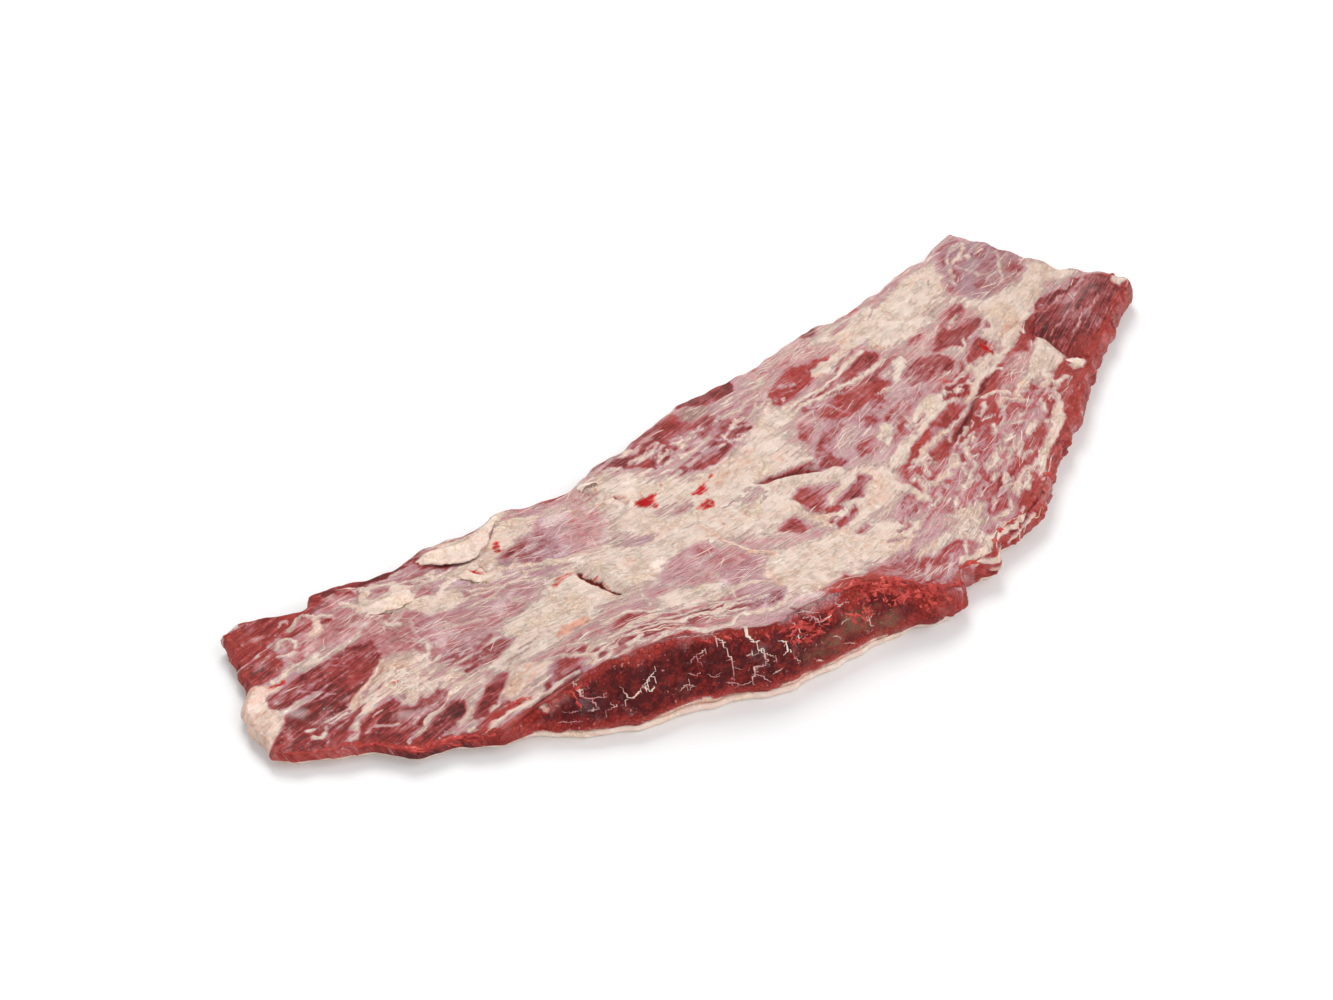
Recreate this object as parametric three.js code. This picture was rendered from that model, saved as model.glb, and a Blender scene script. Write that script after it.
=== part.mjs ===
// A raw beef rib cap: a long flat muscle cut from over the ribs, lying on the fat that covered its
// outer side, with the membrane side up. Two solids, one on the other: the lean and the fat cover.
// Millimetres, +Z up. X runs along the cut and Y across it, towards the uncut far edge. The origin
// is under the middle of the piece, on the surface that it lies on.
import * as THREE from "three";

// Thickness of the fat cover, and the hairline that parts it from the lean.
const FAT_THICKNESS = 4;
const SEAM = 0.3;

// Steps of the top surface along the piece and across it.
const COLUMNS = 96;
const ROWS = 34;

// Places along the piece, as shares of its length, and the height of the top there, over the
// table: beside the near edge, along the middle and beside the far edge. The near side is a knife
// cut as far as the corner, and there it leans back by so much for each millimetre of its height.
const STATIONS = [0, 0.14, 0.19, 0.24, 0.3, 0.36, 0.43, 0.48, 0.53, 0.58, 0.65, 0.8, 0.92, 1];
const NEAR_HEIGHT = [8, 9, 14, 26, 33, 34, 34, 31, 20, 16, 16, 17, 16, 15];
const MIDDLE_HEIGHT = [8, 9.5, 12, 15, 18.5, 21, 23, 24, 23, 21.5, 20, 18, 17, 16];
const FAR_HEIGHT = [8, 10, 11, 12, 13, 13, 13, 13, 13, 13, 13, 13, 13, 13];
const NEAR_LEAN = [0.4, 0.45, 0.6, 1.05, 0.85, 0.55, 0.65, 0.6, 0.5, 0.4, 0.4, 0.4, 0.4, 0.4];

// The widest outline in plan, as the four edges that the knife left.
const NEAR_EDGE = [
  [-272, 27], [-265, 19], [-258, 14], [-236, 1], [-226, -12], [-205, -22], [-192, -31],
  [-172, -39], [-157, -51], [-133, -64], [-112, -70], [-87, -81], [-74, -88], [-45, -92],
  [-16, -96], [-1, -100], [12, -106], [26, -105], [37, -98], [47, -98], [55, -100],
  [62, -94], [74, -91], [89, -90], [101, -88], [109, -82], [126, -72], [144, -62],
  [161, -55], [186, -40], [206, -28], [226, -18], [246, -8], [262, 0], [268, 6],
];
const RIGHT_END = [
  [268, 6], [263, 16], [253, 28], [243, 48], [237, 70], [230, 90], [225, 101],
];
const FAR_EDGE = [
  [-249, 103], [-241, 103], [-230, 101], [-221, 96], [-209, 91], [-203, 96], [-190, 96],
  [-172, 88], [-150, 87], [-137, 86], [-118, 81], [-103, 83], [-90, 79], [-72, 74],
  [-58, 76], [-46, 80], [-22, 81], [-6, 85], [23, 88], [56, 85], [96, 89], [132, 87],
  [159, 90], [183, 94], [195, 93], [214, 99], [225, 101],
];
const LEFT_END = [
  [-272, 27], [-271, 42], [-266, 60], [-258, 70], [-253, 87], [-249, 103],
];

// How the other edges fall to the table: how far the top's rim lies in for each millimetre that
// it stands over the widest line. Then how round each fall is, from a plane cut to a quarter circle.
const RIGHT_LEAN = 0.5;
const FAR_LEAN = 0.45;
const LEFT_LEAN = 0.9;
const CUT_ROUND = 0.2;
const LEFT_ROUND = 0.5;
const SIDE_ROUND = 0.88;
const CUT_FACE_ENDS = 0.5;
const EDGE_BLEND_STEPS = 3;
const WIDEST_SHARE = 0.22;
const LEAN_UNDERCUT = 1.2;
const SIDE_ROWS = 5;

// How far the fat cover's outline stays inside the lean's, where it is hidden and where it shows.
const FAT_HIDDEN_INSET = 3;
const FAT_SHOWN_INSET = 0.4;
const FAT_SHOWS_FROM = 0.24;
const FAT_ROUNDING = 1.1;

// Forms of the top that stand up from it or are pressed into it: a path in plan, how far to the
// side of it the form reaches, and how high it rises.
const FORMS = [
  { name: "lifted flap of fat", reach: 7, rise: 2.6,
    path: [[-146, 82], [-128, 75], [-112, 74], [-100, 80]] },
  { name: "hollow under the flap", reach: 6, rise: -1.6,
    path: [[-142, 72], [-127, 64], [-112, 61]] },
  { name: "crack in the fat sheet", reach: 5, rise: -2.4,
    path: [[-102, 21], [-102, 8], [-99, -5]] },
  { name: "lip beside the crack", reach: 6, rise: 1.4,
    path: [[-95, 18], [-94, 6], [-92, -3]] },
  { name: "slit by the middle", reach: 5, rise: -2.6,
    path: [[1, 10], [14, 5], [30, -3]] },
  { name: "lip below the slit", reach: 6, rise: 1.6,
    path: [[6, 1], [18, -4], [34, -9]] },
  { name: "torn curls", reach: 7, rise: 1.6,
    path: [[-62, 68], [-58, 58], [-54, 45]] },
  { name: "long seam of the right half", reach: 7, rise: -2.6,
    path: [[84, -31], [116, -14], [149, -1], [181, 13], [209, 22]] },
  { name: "strand above the long seam", reach: 9, rise: 1.3,
    path: [[70, -16], [110, 0], [150, 14], [185, 30]] },
  { name: "strand below the long seam", reach: 9, rise: 1.5,
    path: [[84, -45], [120, -29], [155, -15], [186, -4]] },
  { name: "step to the bare end", reach: 6, rise: -2.2,
    path: [[192, 4], [190, -9], [192, -22]] },
  { name: "bare muscle of the right end", reach: 15, rise: 2.2,
    path: [[205, -4], [228, 4], [250, 12]] },
  { name: "seam by the near side", reach: 6, rise: -1.6,
    path: [[70, -84], [100, -74], [130, -58], [160, -42]] },
  { name: "edge of the left membrane", reach: 6, rise: 1.5,
    path: [[-243, 10], [-222, 22], [-203, 32], [-200, 46]] },
  { name: "bare hollow of the left end", reach: 11, rise: -1.2,
    path: [[-250, 28], [-232, 36], [-214, 45]] },
  { name: "rim of the cut face", reach: 9, rise: 1.6,
    path: [[-160, -18], [-130, -30], [-100, -42], [-70, -56], [-40, -68]] },
  { name: "dip before the corner", reach: 10, rise: -1.8,
    path: [[-16, -60], [2, -74], [18, -84]] },
  { name: "knot at the corner", reach: 11, rise: 1.8,
    path: [[30, -72], [44, -80]] },
  { name: "middle trough", reach: 16, rise: -1.6,
    path: [[-80, 30], [-40, 26], [0, 34], [40, 44], [80, 52]] },
];

// The muscle's strands cross the piece on a long curve, y = slope x + bend x². They ripple the top,
// less in the smooth left part: the pitch from strand to strand, the ripple's size, and how far
// and how often a strand sways.
const GRAIN_SLOPE = 0.33;
const GRAIN_BEND = 0.00023;
const SMOOTH_LEFT_OF = -120;
const RIPPLED_RIGHT_OF = 60;
const LEAST_RIPPLE = 0.25;
const STRANDS = [
  { pitch: 19, size: 0.55, sway: 0.4, every: 150, phase: 0.3 },
  { pitch: 31, size: 0.6, sway: 0.5, every: 230, phase: 2.2 },
];

// Waves that keep the outline from being even: wavelength, size and phase.
const EDGE_WAVES = [
  { length: 33, size: 0.5, phase: 1.2 },
  { length: 19, size: 0.35, phase: 3.9 },
  { length: 12.5, size: 0.25, phase: 0.7 },
];

const LEAN_COLOUR = 0x9c4347;
const FAT_COLOUR = 0xe6d5c3;

const wave = (angle, size, phase) => size * Math.sin(2 * Math.PI * angle + phase);

function edgePoints(points, count) {
  const corners = points.map(([x, y]) => new THREE.Vector3(x, y, 0));
  return new THREE.CatmullRomCurve3(corners, false, "centripetal").getSpacedPoints(count);
}

// A smooth curve through the values at the stations.
function valueAt(values, share) {
  const last = STATIONS.length - 1;
  const slope = (i) => {
    const [from, to] = [Math.max(i - 1, 0), Math.min(i + 1, last)];
    return (values[to] - values[from]) / (STATIONS[to] - STATIONS[from]);
  };
  let i = 0;
  while (i < last - 1 && share > STATIONS[i + 1]) i += 1;
  const span = STATIONS[i + 1] - STATIONS[i];
  const u = (share - STATIONS[i]) / span;
  return (
    (2 * u ** 3 - 3 * u ** 2 + 1) * values[i] +
    (u ** 3 - 2 * u ** 2 + u) * span * slope(i) +
    (3 * u ** 2 - 2 * u ** 3) * values[i + 1] +
    (u ** 3 - u ** 2) * span * slope(i + 1)
  );
}

// The top's height before its forms: a parabola through near edge, middle and far edge.
function thickness(along, across) {
  const near = valueAt(NEAR_HEIGHT, along);
  const middle = valueAt(MIDDLE_HEIGHT, along);
  const far = valueAt(FAR_HEIGHT, along);
  return (
    near * (1 - across) * (1 - 2 * across) +
    middle * 4 * across * (1 - across) +
    far * across * (2 * across - 1)
  );
}

function distanceToPath(x, y, path) {
  let nearest = Infinity;
  for (let i = 0; i + 1 < path.length; i += 1) {
    const [[ax, ay], [bx, by]] = [path[i], path[i + 1]];
    const [dx, dy] = [bx - ax, by - ay];
    const share = ((x - ax) * dx + (y - ay) * dy) / (dx * dx + dy * dy);
    const u = Math.min(Math.max(share, 0), 1);
    nearest = Math.min(nearest, Math.hypot(x - ax - u * dx, y - ay - u * dy));
  }
  return nearest;
}

function relief(x, y) {
  let rise = 0;
  for (const form of FORMS) {
    const off = distanceToPath(x, y, form.path) / form.reach;
    rise += form.rise * Math.exp(-2 * off * off);
  }
  const acrossGrain = y - GRAIN_SLOPE * x - GRAIN_BEND * x * x;
  const ripple = LEAST_RIPPLE
    + (1 - LEAST_RIPPLE) * THREE.MathUtils.smoothstep(x, SMOOTH_LEFT_OF, RIPPLED_RIGHT_OF);
  for (const { pitch, size, sway, every, phase } of STRANDS) {
    const swayed = acrossGrain / pitch + wave(x / every, sway, phase);
    rise += ripple * wave(swayed, size, phase);
  }
  return rise;
}

// The four edges as one loop, counter-clockwise from above, from the left end of the near edge.
function joinEdges(near, right, far, left) {
  return [
    ...near.slice(0, -1),
    ...right.slice(0, -1),
    ...far.slice(1).reverse(),
    ...left.slice(1).reverse(),
  ];
}

// The middle of each point's neighbours, over and over, round a closed loop of numbers.
function smoothLoop(values, steps) {
  let smoothed = values;
  for (let step = 0; step < steps; step += 1) {
    const before = smoothed;
    const count = before.length;
    smoothed = before.map(
      (value, i) => (before[(i + count - 1) % count] + 2 * value + before[(i + 1) % count]) / 4,
    );
  }
  return smoothed;
}

function outwardNormals(loop) {
  const xs = smoothLoop(loop.map((p) => p.x), EDGE_BLEND_STEPS * 2);
  const ys = smoothLoop(loop.map((p) => p.y), EDGE_BLEND_STEPS * 2);
  const count = loop.length;
  return loop.map((_, i) => {
    const [after, before] = [(i + 1) % count, (i + count - 1) % count];
    const normal = new THREE.Vector2(ys[after] - ys[before], xs[before] - xs[after]);
    return normal.normalize();
  });
}

// The widest outline, uneven as a knife leaves it.
function raggedOutline() {
  const loop = joinEdges(
    edgePoints(NEAR_EDGE, COLUMNS),
    edgePoints(RIGHT_END, ROWS),
    edgePoints(FAR_EDGE, COLUMNS),
    edgePoints(LEFT_END, ROWS),
  );
  const normals = outwardNormals(loop);
  let travelled = 0;
  return loop.map((point, i) => {
    if (i > 0) travelled += point.distanceTo(loop[i - 1]);
    let out = 0;
    for (const { length, size, phase } of EDGE_WAVES) out += wave(travelled / length, size, phase);
    return new THREE.Vector2(point.x + out * normals[i].x, point.y + out * normals[i].y);
  });
}

// One value for each point of the loop, from a function for each of the four edges.
function roundLoop(near, right, far, left) {
  return [
    ...Array.from({ length: COLUMNS }, (_, i) => near(i / COLUMNS)),
    ...Array.from({ length: ROWS }, (_, i) => right(i / ROWS)),
    ...Array.from({ length: COLUMNS }, (_, i) => far(1 - i / COLUMNS)),
    ...Array.from({ length: ROWS }, (_, i) => left(1 - i / ROWS)),
  ];
}

function edgeLeans() {
  const near = (along) => valueAt(NEAR_LEAN, along);
  const values = roundLoop(near, () => RIGHT_LEAN, () => FAR_LEAN, () => LEFT_LEAN);
  return smoothLoop(values, EDGE_BLEND_STEPS);
}

function edgeRounds() {
  const near = (along) => (along < CUT_FACE_ENDS ? CUT_ROUND : SIDE_ROUND);
  const values = roundLoop(near, () => SIDE_ROUND, () => SIDE_ROUND, () => LEFT_ROUND);
  return smoothLoop(values, EDGE_BLEND_STEPS);
}

function inset(loop, normals, amounts) {
  return loop.map((point, i) => point.clone().addScaledVector(normals[i], -amounts[i]));
}

// The loop cut back into its four edges, each with both of its ends.
function splitEdges(loop) {
  const corners = [0, COLUMNS, COLUMNS + ROWS, 2 * COLUMNS + ROWS, loop.length];
  const piece = (k) => [...loop.slice(corners[k], corners[k + 1]), loop[corners[k + 1] % loop.length]];
  return { near: piece(0), right: piece(1), far: piece(2).reverse(), left: piece(3).reverse() };
}

// Points of a patch that meets all four edges of a loop.
function patch(loop) {
  const { near, right, far, left } = splitEdges(loop);
  const points = [];
  for (let j = 0; j <= ROWS; j += 1) {
    for (let i = 0; i <= COLUMNS; i += 1) {
      const [along, across] = [i / COLUMNS, j / ROWS];
      const mix = (key) => {
        const between = near[i][key] * (1 - across) + far[i][key] * across;
        const beside = left[j][key] * (1 - along) + right[j][key] * along;
        const corners =
          (left[0][key] * (1 - along) + right[0][key] * along) * (1 - across) +
          (left[ROWS][key] * (1 - along) + right[ROWS][key] * along) * across;
        return between + beside - corners;
      };
      points.push(new THREE.Vector2(mix("x"), mix("y")));
    }
  }
  return points;
}

const topIndex = (i, j) => j * (COLUMNS + 1) + i;

// The numbers of the patch's border points, in the loop's order.
function borderIndices() {
  return roundLoop(
    (along) => topIndex(Math.round(along * COLUMNS), 0),
    (across) => topIndex(COLUMNS, Math.round(across * ROWS)),
    (along) => topIndex(Math.round(along * COLUMNS), ROWS),
    (across) => topIndex(0, Math.round(across * ROWS)),
  );
}

class Shell {
  constructor() {
    this.positions = [];
    this.triangles = [];
  }

  point(x, y, z) {
    this.positions.push(x, y, z);
    return this.positions.length / 3 - 1;
  }

  loop(points, height) {
    return points.map((p, i) => this.point(p.x, p.y, typeof height === "number" ? height : height[i]));
  }

  distance(a, b) {
    const [from, to] = [a, b].map((index) => this.positions.slice(3 * index, 3 * index + 3));
    return Math.hypot(from[0] - to[0], from[1] - to[1], from[2] - to[2]);
  }

  // Four corners, counter-clockwise from outside, split along the shorter diagonal.
  quad(a, b, c, d) {
    const short = this.distance(a, c) < this.distance(b, d);
    this.triangles.push(...(short ? [a, b, c, a, c, d] : [a, b, d, b, c, d]));
  }

  // The wall between an upper loop and a lower one.
  wall(upper, lower) {
    const count = upper.length;
    for (let i = 0; i < count; i += 1) {
      const next = (i + 1) % count;
      this.quad(upper[i], lower[i], lower[next], upper[next]);
    }
  }

  // A level face over a loop of points, facing up or down.
  lid(points, indices, up) {
    for (const [a, b, c] of THREE.ShapeUtils.triangulateShape(points, [])) {
      const corners = up ? [a, b, c] : [a, c, b];
      this.triangles.push(...corners.map((corner) => indices[corner]));
    }
  }

  geometry() {
    const made = new THREE.BufferGeometry();
    made.setAttribute("position", new THREE.Float32BufferAttribute(this.positions, 3));
    made.setIndex(this.triangles);
    made.computeVertexNormals();
    return made;
  }
}

function buildLean(outline, normals) {
  const shell = new Shell();
  const foot = FAT_THICKNESS + SEAM;
  const leans = edgeLeans();
  const rounds = edgeRounds();
  const rimHeight = roundLoop(
    (along) => thickness(along, 0),
    (across) => thickness(1, across),
    (along) => thickness(along, 1),
    (across) => thickness(0, across),
  );
  const widest = rimHeight.map((height) => foot + WIDEST_SHARE * (height - foot));
  const reach = rimHeight.map((height, i) => leans[i] * (height - widest[i]));
  const rim = inset(outline, normals, reach);

  const plan = patch(rim);
  plan.forEach((p, k) => {
    const along = (k % (COLUMNS + 1)) / COLUMNS;
    const across = Math.floor(k / (COLUMNS + 1)) / ROWS;
    shell.point(p.x, p.y, thickness(along, across) + relief(p.x, p.y));
  });
  for (let j = 0; j < ROWS; j += 1) {
    for (let i = 0; i < COLUMNS; i += 1) {
      shell.quad(topIndex(i, j), topIndex(i + 1, j), topIndex(i + 1, j + 1), topIndex(i, j + 1));
    }
  }

  let upper = borderIndices();
  const top = upper.map((index) => shell.positions[3 * index + 2]);
  for (let row = 1; row <= SIDE_ROWS; row += 1) {
    const down = row / SIDE_ROWS;
    const angle = (down * Math.PI) / 2;
    const inward = reach.map((r, i) => {
      const straight = 1 - down;
      const round = 1 - Math.sin(angle);
      return r * (straight + (round - straight) * rounds[i]);
    });
    const height = top.map((z, i) => {
      const straight = 1 - down;
      const round = Math.cos(angle);
      return widest[i] + (z - widest[i]) * (straight + (round - straight) * rounds[i]);
    });
    const lower = shell.loop(inset(outline, normals, inward), height);
    shell.wall(upper, lower);
    upper = lower;
  }
  const under = inset(outline, normals, outline.map(() => LEAN_UNDERCUT));
  const base = shell.loop(under, foot);
  shell.wall(upper, base);
  shell.lid(under, base, false);
  return shell.geometry();
}

function buildFatCover(outline, normals) {
  const shell = new Shell();
  const shown = (along) => (along > FAT_SHOWS_FROM ? FAT_SHOWN_INSET : FAT_HIDDEN_INSET);
  const hidden = () => FAT_HIDDEN_INSET;
  const insets = smoothLoop(roundLoop(shown, hidden, hidden, hidden), EDGE_BLEND_STEPS * 2);
  const side = (extra) => inset(outline, normals, insets.map((amount) => amount + extra));

  const topPoints = side(FAT_ROUNDING);
  const top = shell.loop(topPoints, FAT_THICKNESS);
  const upperSide = shell.loop(side(0), FAT_THICKNESS * 0.7);
  const lowerSide = shell.loop(side(FAT_ROUNDING * 0.4), FAT_THICKNESS * 0.25);
  const footPoints = side(FAT_ROUNDING * 1.5);
  const foot = shell.loop(footPoints, 0);
  shell.lid(topPoints, top, true);
  shell.wall(top, upperSide);
  shell.wall(upperSide, lowerSide);
  shell.wall(lowerSide, foot);
  shell.lid(footPoints, foot, false);
  return shell.geometry();
}

function buildRibCap() {
  const outline = raggedOutline();
  const normals = outwardNormals(outline);
  const lean = new THREE.Mesh(
    buildLean(outline, normals),
    new THREE.MeshStandardMaterial({ color: LEAN_COLOUR, roughness: 0.38, metalness: 0 }),
  );
  lean.name = "lean";
  const fatCover = new THREE.Mesh(
    buildFatCover(outline, normals),
    new THREE.MeshStandardMaterial({ color: FAT_COLOUR, roughness: 0.5, metalness: 0 }),
  );
  fatCover.name = "fat_cover";

  const group = new THREE.Group();
  group.add(lean, fatCover);
  const middle = new THREE.Box3().setFromObject(group, true).getCenter(new THREE.Vector3());
  group.position.set(-middle.x, -middle.y, 0);
  return group;
}

export default buildRibCap();
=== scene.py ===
import math
from collections import namedtuple

import bmesh
import bpy
import numpy as np
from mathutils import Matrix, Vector
from mathutils.bvhtree import BVHTree


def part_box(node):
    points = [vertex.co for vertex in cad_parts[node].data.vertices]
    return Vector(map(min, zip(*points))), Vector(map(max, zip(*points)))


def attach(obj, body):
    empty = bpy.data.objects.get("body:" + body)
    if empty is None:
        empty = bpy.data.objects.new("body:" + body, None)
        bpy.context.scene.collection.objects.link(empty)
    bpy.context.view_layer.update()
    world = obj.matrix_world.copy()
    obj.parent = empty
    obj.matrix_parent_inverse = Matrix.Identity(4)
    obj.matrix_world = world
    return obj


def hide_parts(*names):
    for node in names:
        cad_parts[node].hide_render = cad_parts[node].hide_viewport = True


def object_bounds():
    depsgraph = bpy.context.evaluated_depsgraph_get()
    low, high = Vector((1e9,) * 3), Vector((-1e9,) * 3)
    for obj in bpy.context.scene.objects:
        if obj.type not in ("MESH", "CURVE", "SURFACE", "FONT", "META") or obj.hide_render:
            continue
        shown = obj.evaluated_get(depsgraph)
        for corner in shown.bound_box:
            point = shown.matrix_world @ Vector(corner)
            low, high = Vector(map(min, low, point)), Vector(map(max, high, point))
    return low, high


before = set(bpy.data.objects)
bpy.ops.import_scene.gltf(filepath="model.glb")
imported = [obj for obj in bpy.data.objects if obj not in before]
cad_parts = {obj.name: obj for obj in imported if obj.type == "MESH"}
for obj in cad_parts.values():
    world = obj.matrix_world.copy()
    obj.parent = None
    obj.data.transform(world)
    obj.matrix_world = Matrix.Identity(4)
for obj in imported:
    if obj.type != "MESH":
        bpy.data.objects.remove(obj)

# A raw beef rib cap, lying on its fat side with the membrane side up. The muscle is one piece with
# a fine surface that is painted by listed areas and strokes. The layer of fat under it, the
# veins in its cut face, the pale strands on its top and the loose flaps are pieces of their own.
# Shapes are worked out in millimetres in plan, and the meshes are in metres.

bl_info = {
    "name": "Raw Beef Rib Cap",
    "version": (1, 0, 0),
    "blender": (4, 5, 0),
    "location": "View3D > Sidebar > Rib Cap",
    "description": "Builds a raw beef rib cap around its CAD frame",
    "category": "Add Mesh",
}

CAD_BOX = [list(corner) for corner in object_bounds()]
MILLIMETRE = 0.001

# Heights over the table, in millimetres.
FAT_THICKNESS = 4.0
LEAN_FOOT = 4.05

# Places along the piece, as shares of its length, with the height of the top beside the near edge,
# along the middle and beside the far edge, and how far the near side leans back.
STATIONS = [0, 0.14, 0.19, 0.24, 0.3, 0.36, 0.43, 0.48, 0.53, 0.58, 0.65, 0.8, 0.92, 1]
NEAR_HEIGHT = [8, 9, 14, 26, 33, 34, 34, 31, 20, 16, 16, 17, 16, 15]
MIDDLE_HEIGHT = [8, 9.5, 12, 15, 18.5, 21, 23, 24, 23, 21.5, 20, 18, 17, 16]
FAR_HEIGHT = [8, 10, 11, 12, 13, 13, 13, 13, 13, 13, 13, 13, 13, 13]
NEAR_LEAN = [0.4, 0.45, 0.6, 1.05, 0.85, 0.55, 0.65, 0.6, 0.5, 0.4, 0.4, 0.4, 0.4, 0.4]

# The widest outline in plan, as the four edges that the knife left.
NEAR_EDGE = [
    (-272, 27), (-265, 19), (-258, 14), (-236, 1), (-226, -12), (-205, -22), (-192, -31),
    (-172, -39), (-157, -51), (-133, -64), (-112, -70), (-87, -81), (-74, -88), (-45, -92),
    (-16, -96), (-1, -100), (12, -106), (26, -105), (37, -98), (47, -98), (55, -100),
    (62, -94), (74, -91), (89, -90), (101, -88), (109, -82), (126, -72), (144, -62),
    (161, -55), (186, -40), (206, -28), (226, -18), (246, -8), (262, 0), (268, 6),
]
RIGHT_END = [(268, 6), (263, 16), (253, 28), (243, 48), (237, 70), (230, 90), (225, 101)]
FAR_EDGE = [
    (-249, 103), (-241, 103), (-230, 101), (-221, 96), (-209, 91), (-203, 96), (-190, 96),
    (-172, 88), (-150, 87), (-137, 86), (-118, 81), (-103, 83), (-90, 79), (-72, 74),
    (-58, 76), (-46, 80), (-22, 81), (-6, 85), (23, 88), (56, 85), (96, 89), (132, 87),
    (159, 90), (183, 94), (195, 93), (214, 99), (225, 101),
]
LEFT_END = [(-272, 27), (-271, 42), (-266, 60), (-258, 70), (-253, 87), (-249, 103)]

RIGHT_LEAN = 0.5
FAR_LEAN = 0.45
LEFT_LEAN = 0.9
CUT_ROUND = 0.2
LEFT_ROUND = 0.5
SIDE_ROUND = 0.88
CUT_FACE_ENDS = 0.5
WIDEST_SHARE = 0.22
LEAN_UNDERCUT = 1.2
# How far along the outline a change from edge to edge is smoothed, as a share of an edge.
EDGE_BLEND = 0.013
# Which covers the fine threads lie on, and how many of them leave the way of the fibres.
THREAD_COVER = (0.16, 0.66)
ASTRAY_SHARE = 0.22
# The rows of the side under its widest line, as shares of the way down.
UNDER_ROWS = (0.35, 0.7, 1.0)

FAT_HIDDEN_INSET = 3.0
FAT_SHOWN_INSET = 0.4
FAT_SHOWS_FROM = 0.2
FAT_SHOWS_TO = 0.485
FAT_ROUNDING = 1.1

# Forms of the top: a path in plan, how far to its side the form reaches, and how high it rises.
Form = namedtuple("Form", "reach rise path")
FORMS = [
    Form(5, -2.4, [(-102, 21), (-102, 8), (-99, -5)]),
    Form(6, 1.4, [(-95, 18), (-94, 6), (-92, -3)]),
    Form(5, -2.6, [(1, 10), (14, 5), (30, -3)]),
    Form(6, 1.6, [(6, 1), (18, -4), (34, -9)]),
    Form(7, 2.0, [(-146, 82), (-128, 75), (-112, 74), (-100, 80)]),
    Form(6, -1.6, [(-142, 72), (-127, 64), (-112, 61)]),
    Form(7, 1.6, [(-62, 68), (-58, 58), (-54, 45)]),
    Form(7, -2.6, [(84, -31), (116, -14), (149, -1), (181, 13), (209, 22)]),
    Form(9, 1.3, [(70, -16), (110, 0), (150, 14), (185, 30)]),
    Form(9, 1.5, [(84, -45), (120, -29), (155, -15), (186, -4)]),
    Form(6, -2.2, [(192, 4), (190, -9), (192, -22)]),
    Form(15, 2.2, [(205, -4), (228, 4), (250, 12)]),
    Form(6, -1.6, [(70, -84), (100, -74), (130, -58), (160, -42)]),
    Form(6, 1.5, [(-243, 10), (-222, 22), (-203, 32), (-200, 46)]),
    Form(11, -1.2, [(-250, 28), (-232, 36), (-214, 45)]),
    Form(9, 1.6, [(-160, -18), (-130, -30), (-100, -42), (-70, -56), (-40, -68)]),
    Form(10, -1.8, [(-16, -60), (2, -74), (18, -84)]),
    Form(11, 1.8, [(30, -72), (44, -80)]),
    Form(16, -1.6, [(-80, 30), (-40, 26), (0, 34), (40, 44), (80, 52)]),
]

# Broad ripples of the muscle's strands: pitch, size, sway, how often they sway, and phase.
GRAIN_SLOPE = 0.33
GRAIN_BEND = 0.00023
SMOOTH_LEFT_OF = -120
RIPPLED_RIGHT_OF = 60
LEAST_RIPPLE = 0.25
STRANDS = [(19, 0.55, 0.4, 150, 0.3), (31, 0.6, 0.5, 230, 2.2)]
EDGE_WAVES = [(33, 0.5, 1.2), (19, 0.35, 3.9), (12.5, 0.25, 0.7)]

# How steeply the fibres climb across the plan: place along the piece, and the slope at the near
# edge and at the far edge there.
FIBRES = [(-270, 0.22, 0.1), (-205, 0.14, 0), (-165, -0.2, -0.3), (-110, -0.28, -0.28),
          (-55, -0.15, 0.0), (0, 0.15, 0.15), (60, 0.5, 0.1), (270, 0.52, 0.05)]

# What covers the muscle, from bare to fat, as the values that areas and strokes are painted with.
BARE, THIN, FILM, MILKY, PALE, CREAM = 0.08, 0.2, 0.36, 0.5, 0.68, 0.95

Area = namedtuple("Area", "cover tone feather points")
Stroke = namedtuple("Stroke", "cover tone width points")


def area(cover, tone, feather, *points):
    return Area(cover, tone, feather, points)


def stroke(cover, tone, width, *points):
    return Stroke(cover, tone, width, points)


# The paint on the top, in plan, laid on in this order. Tone runs from -1, dark purple, to 1, a
# bright brick red, and None leaves it as it is.
BROAD_PAINT = [
    area(0.52, 0.0, 10, (-200, 110), (-200, -40), (-60, -110), (-60, 110)),
    area(0.44, -0.12, 14, (-300, 120), (-300, -60), (-150, -70), (-100, -20), (-90, 30), (-110, 120)),
    area(0.9, 0.05, 8, (-172, 12), (-140, 20), (-104, 28), (-70, 26), (-62, 66), (-48, 64), (-40, 58),
         (-30, 44), (-14, 34), (10, 34), (30, 46), (60, 50), (64, 42), (40, 34), (32, 22), (30, 4),
         (40, -14), (56, -22), (62, -34), (48, -42), (24, -44), (4, -46), (0, -28), (-6, -20),
         (-22, -24), (-44, -14), (-60, -6), (-100, -10), (-150, -10), (-176, -6)),
    area(0.93, 0.08, 5, (-52, -42), (-30, -38), (2, -44), (26, -50), (38, -60), (24, -72), (0, -68),
         (-14, -74), (-36, -74), (-46, -68), (-52, -56)),
    area(0.94, 0.04, 4, (96, 76), (110, 80), (128, 80), (150, 78), (176, 84), (196, 84), (186, 62),
         (172, 56), (158, 48), (140, 45), (124, 47), (118, 52), (122, 58), (106, 62), (112, 68)),
    area(0.9, 0.1, 4, (180, 56), (186, 46), (200, 41), (216, 41), (230, 50), (240, 44), (246, 34),
         (244, 27), (224, 27), (210, 23), (196, 18), (176, 14), (164, 18), (176, 28), (184, 36),
         (180, 44), (172, 46)),
    area(0.62, 0.05, 6, (48, -44), (66, -40), (92, -52), (112, -44), (140, -40), (150, -46), (120, -62),
         (104, -72), (60, -96), (50, -84)),
]

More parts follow.
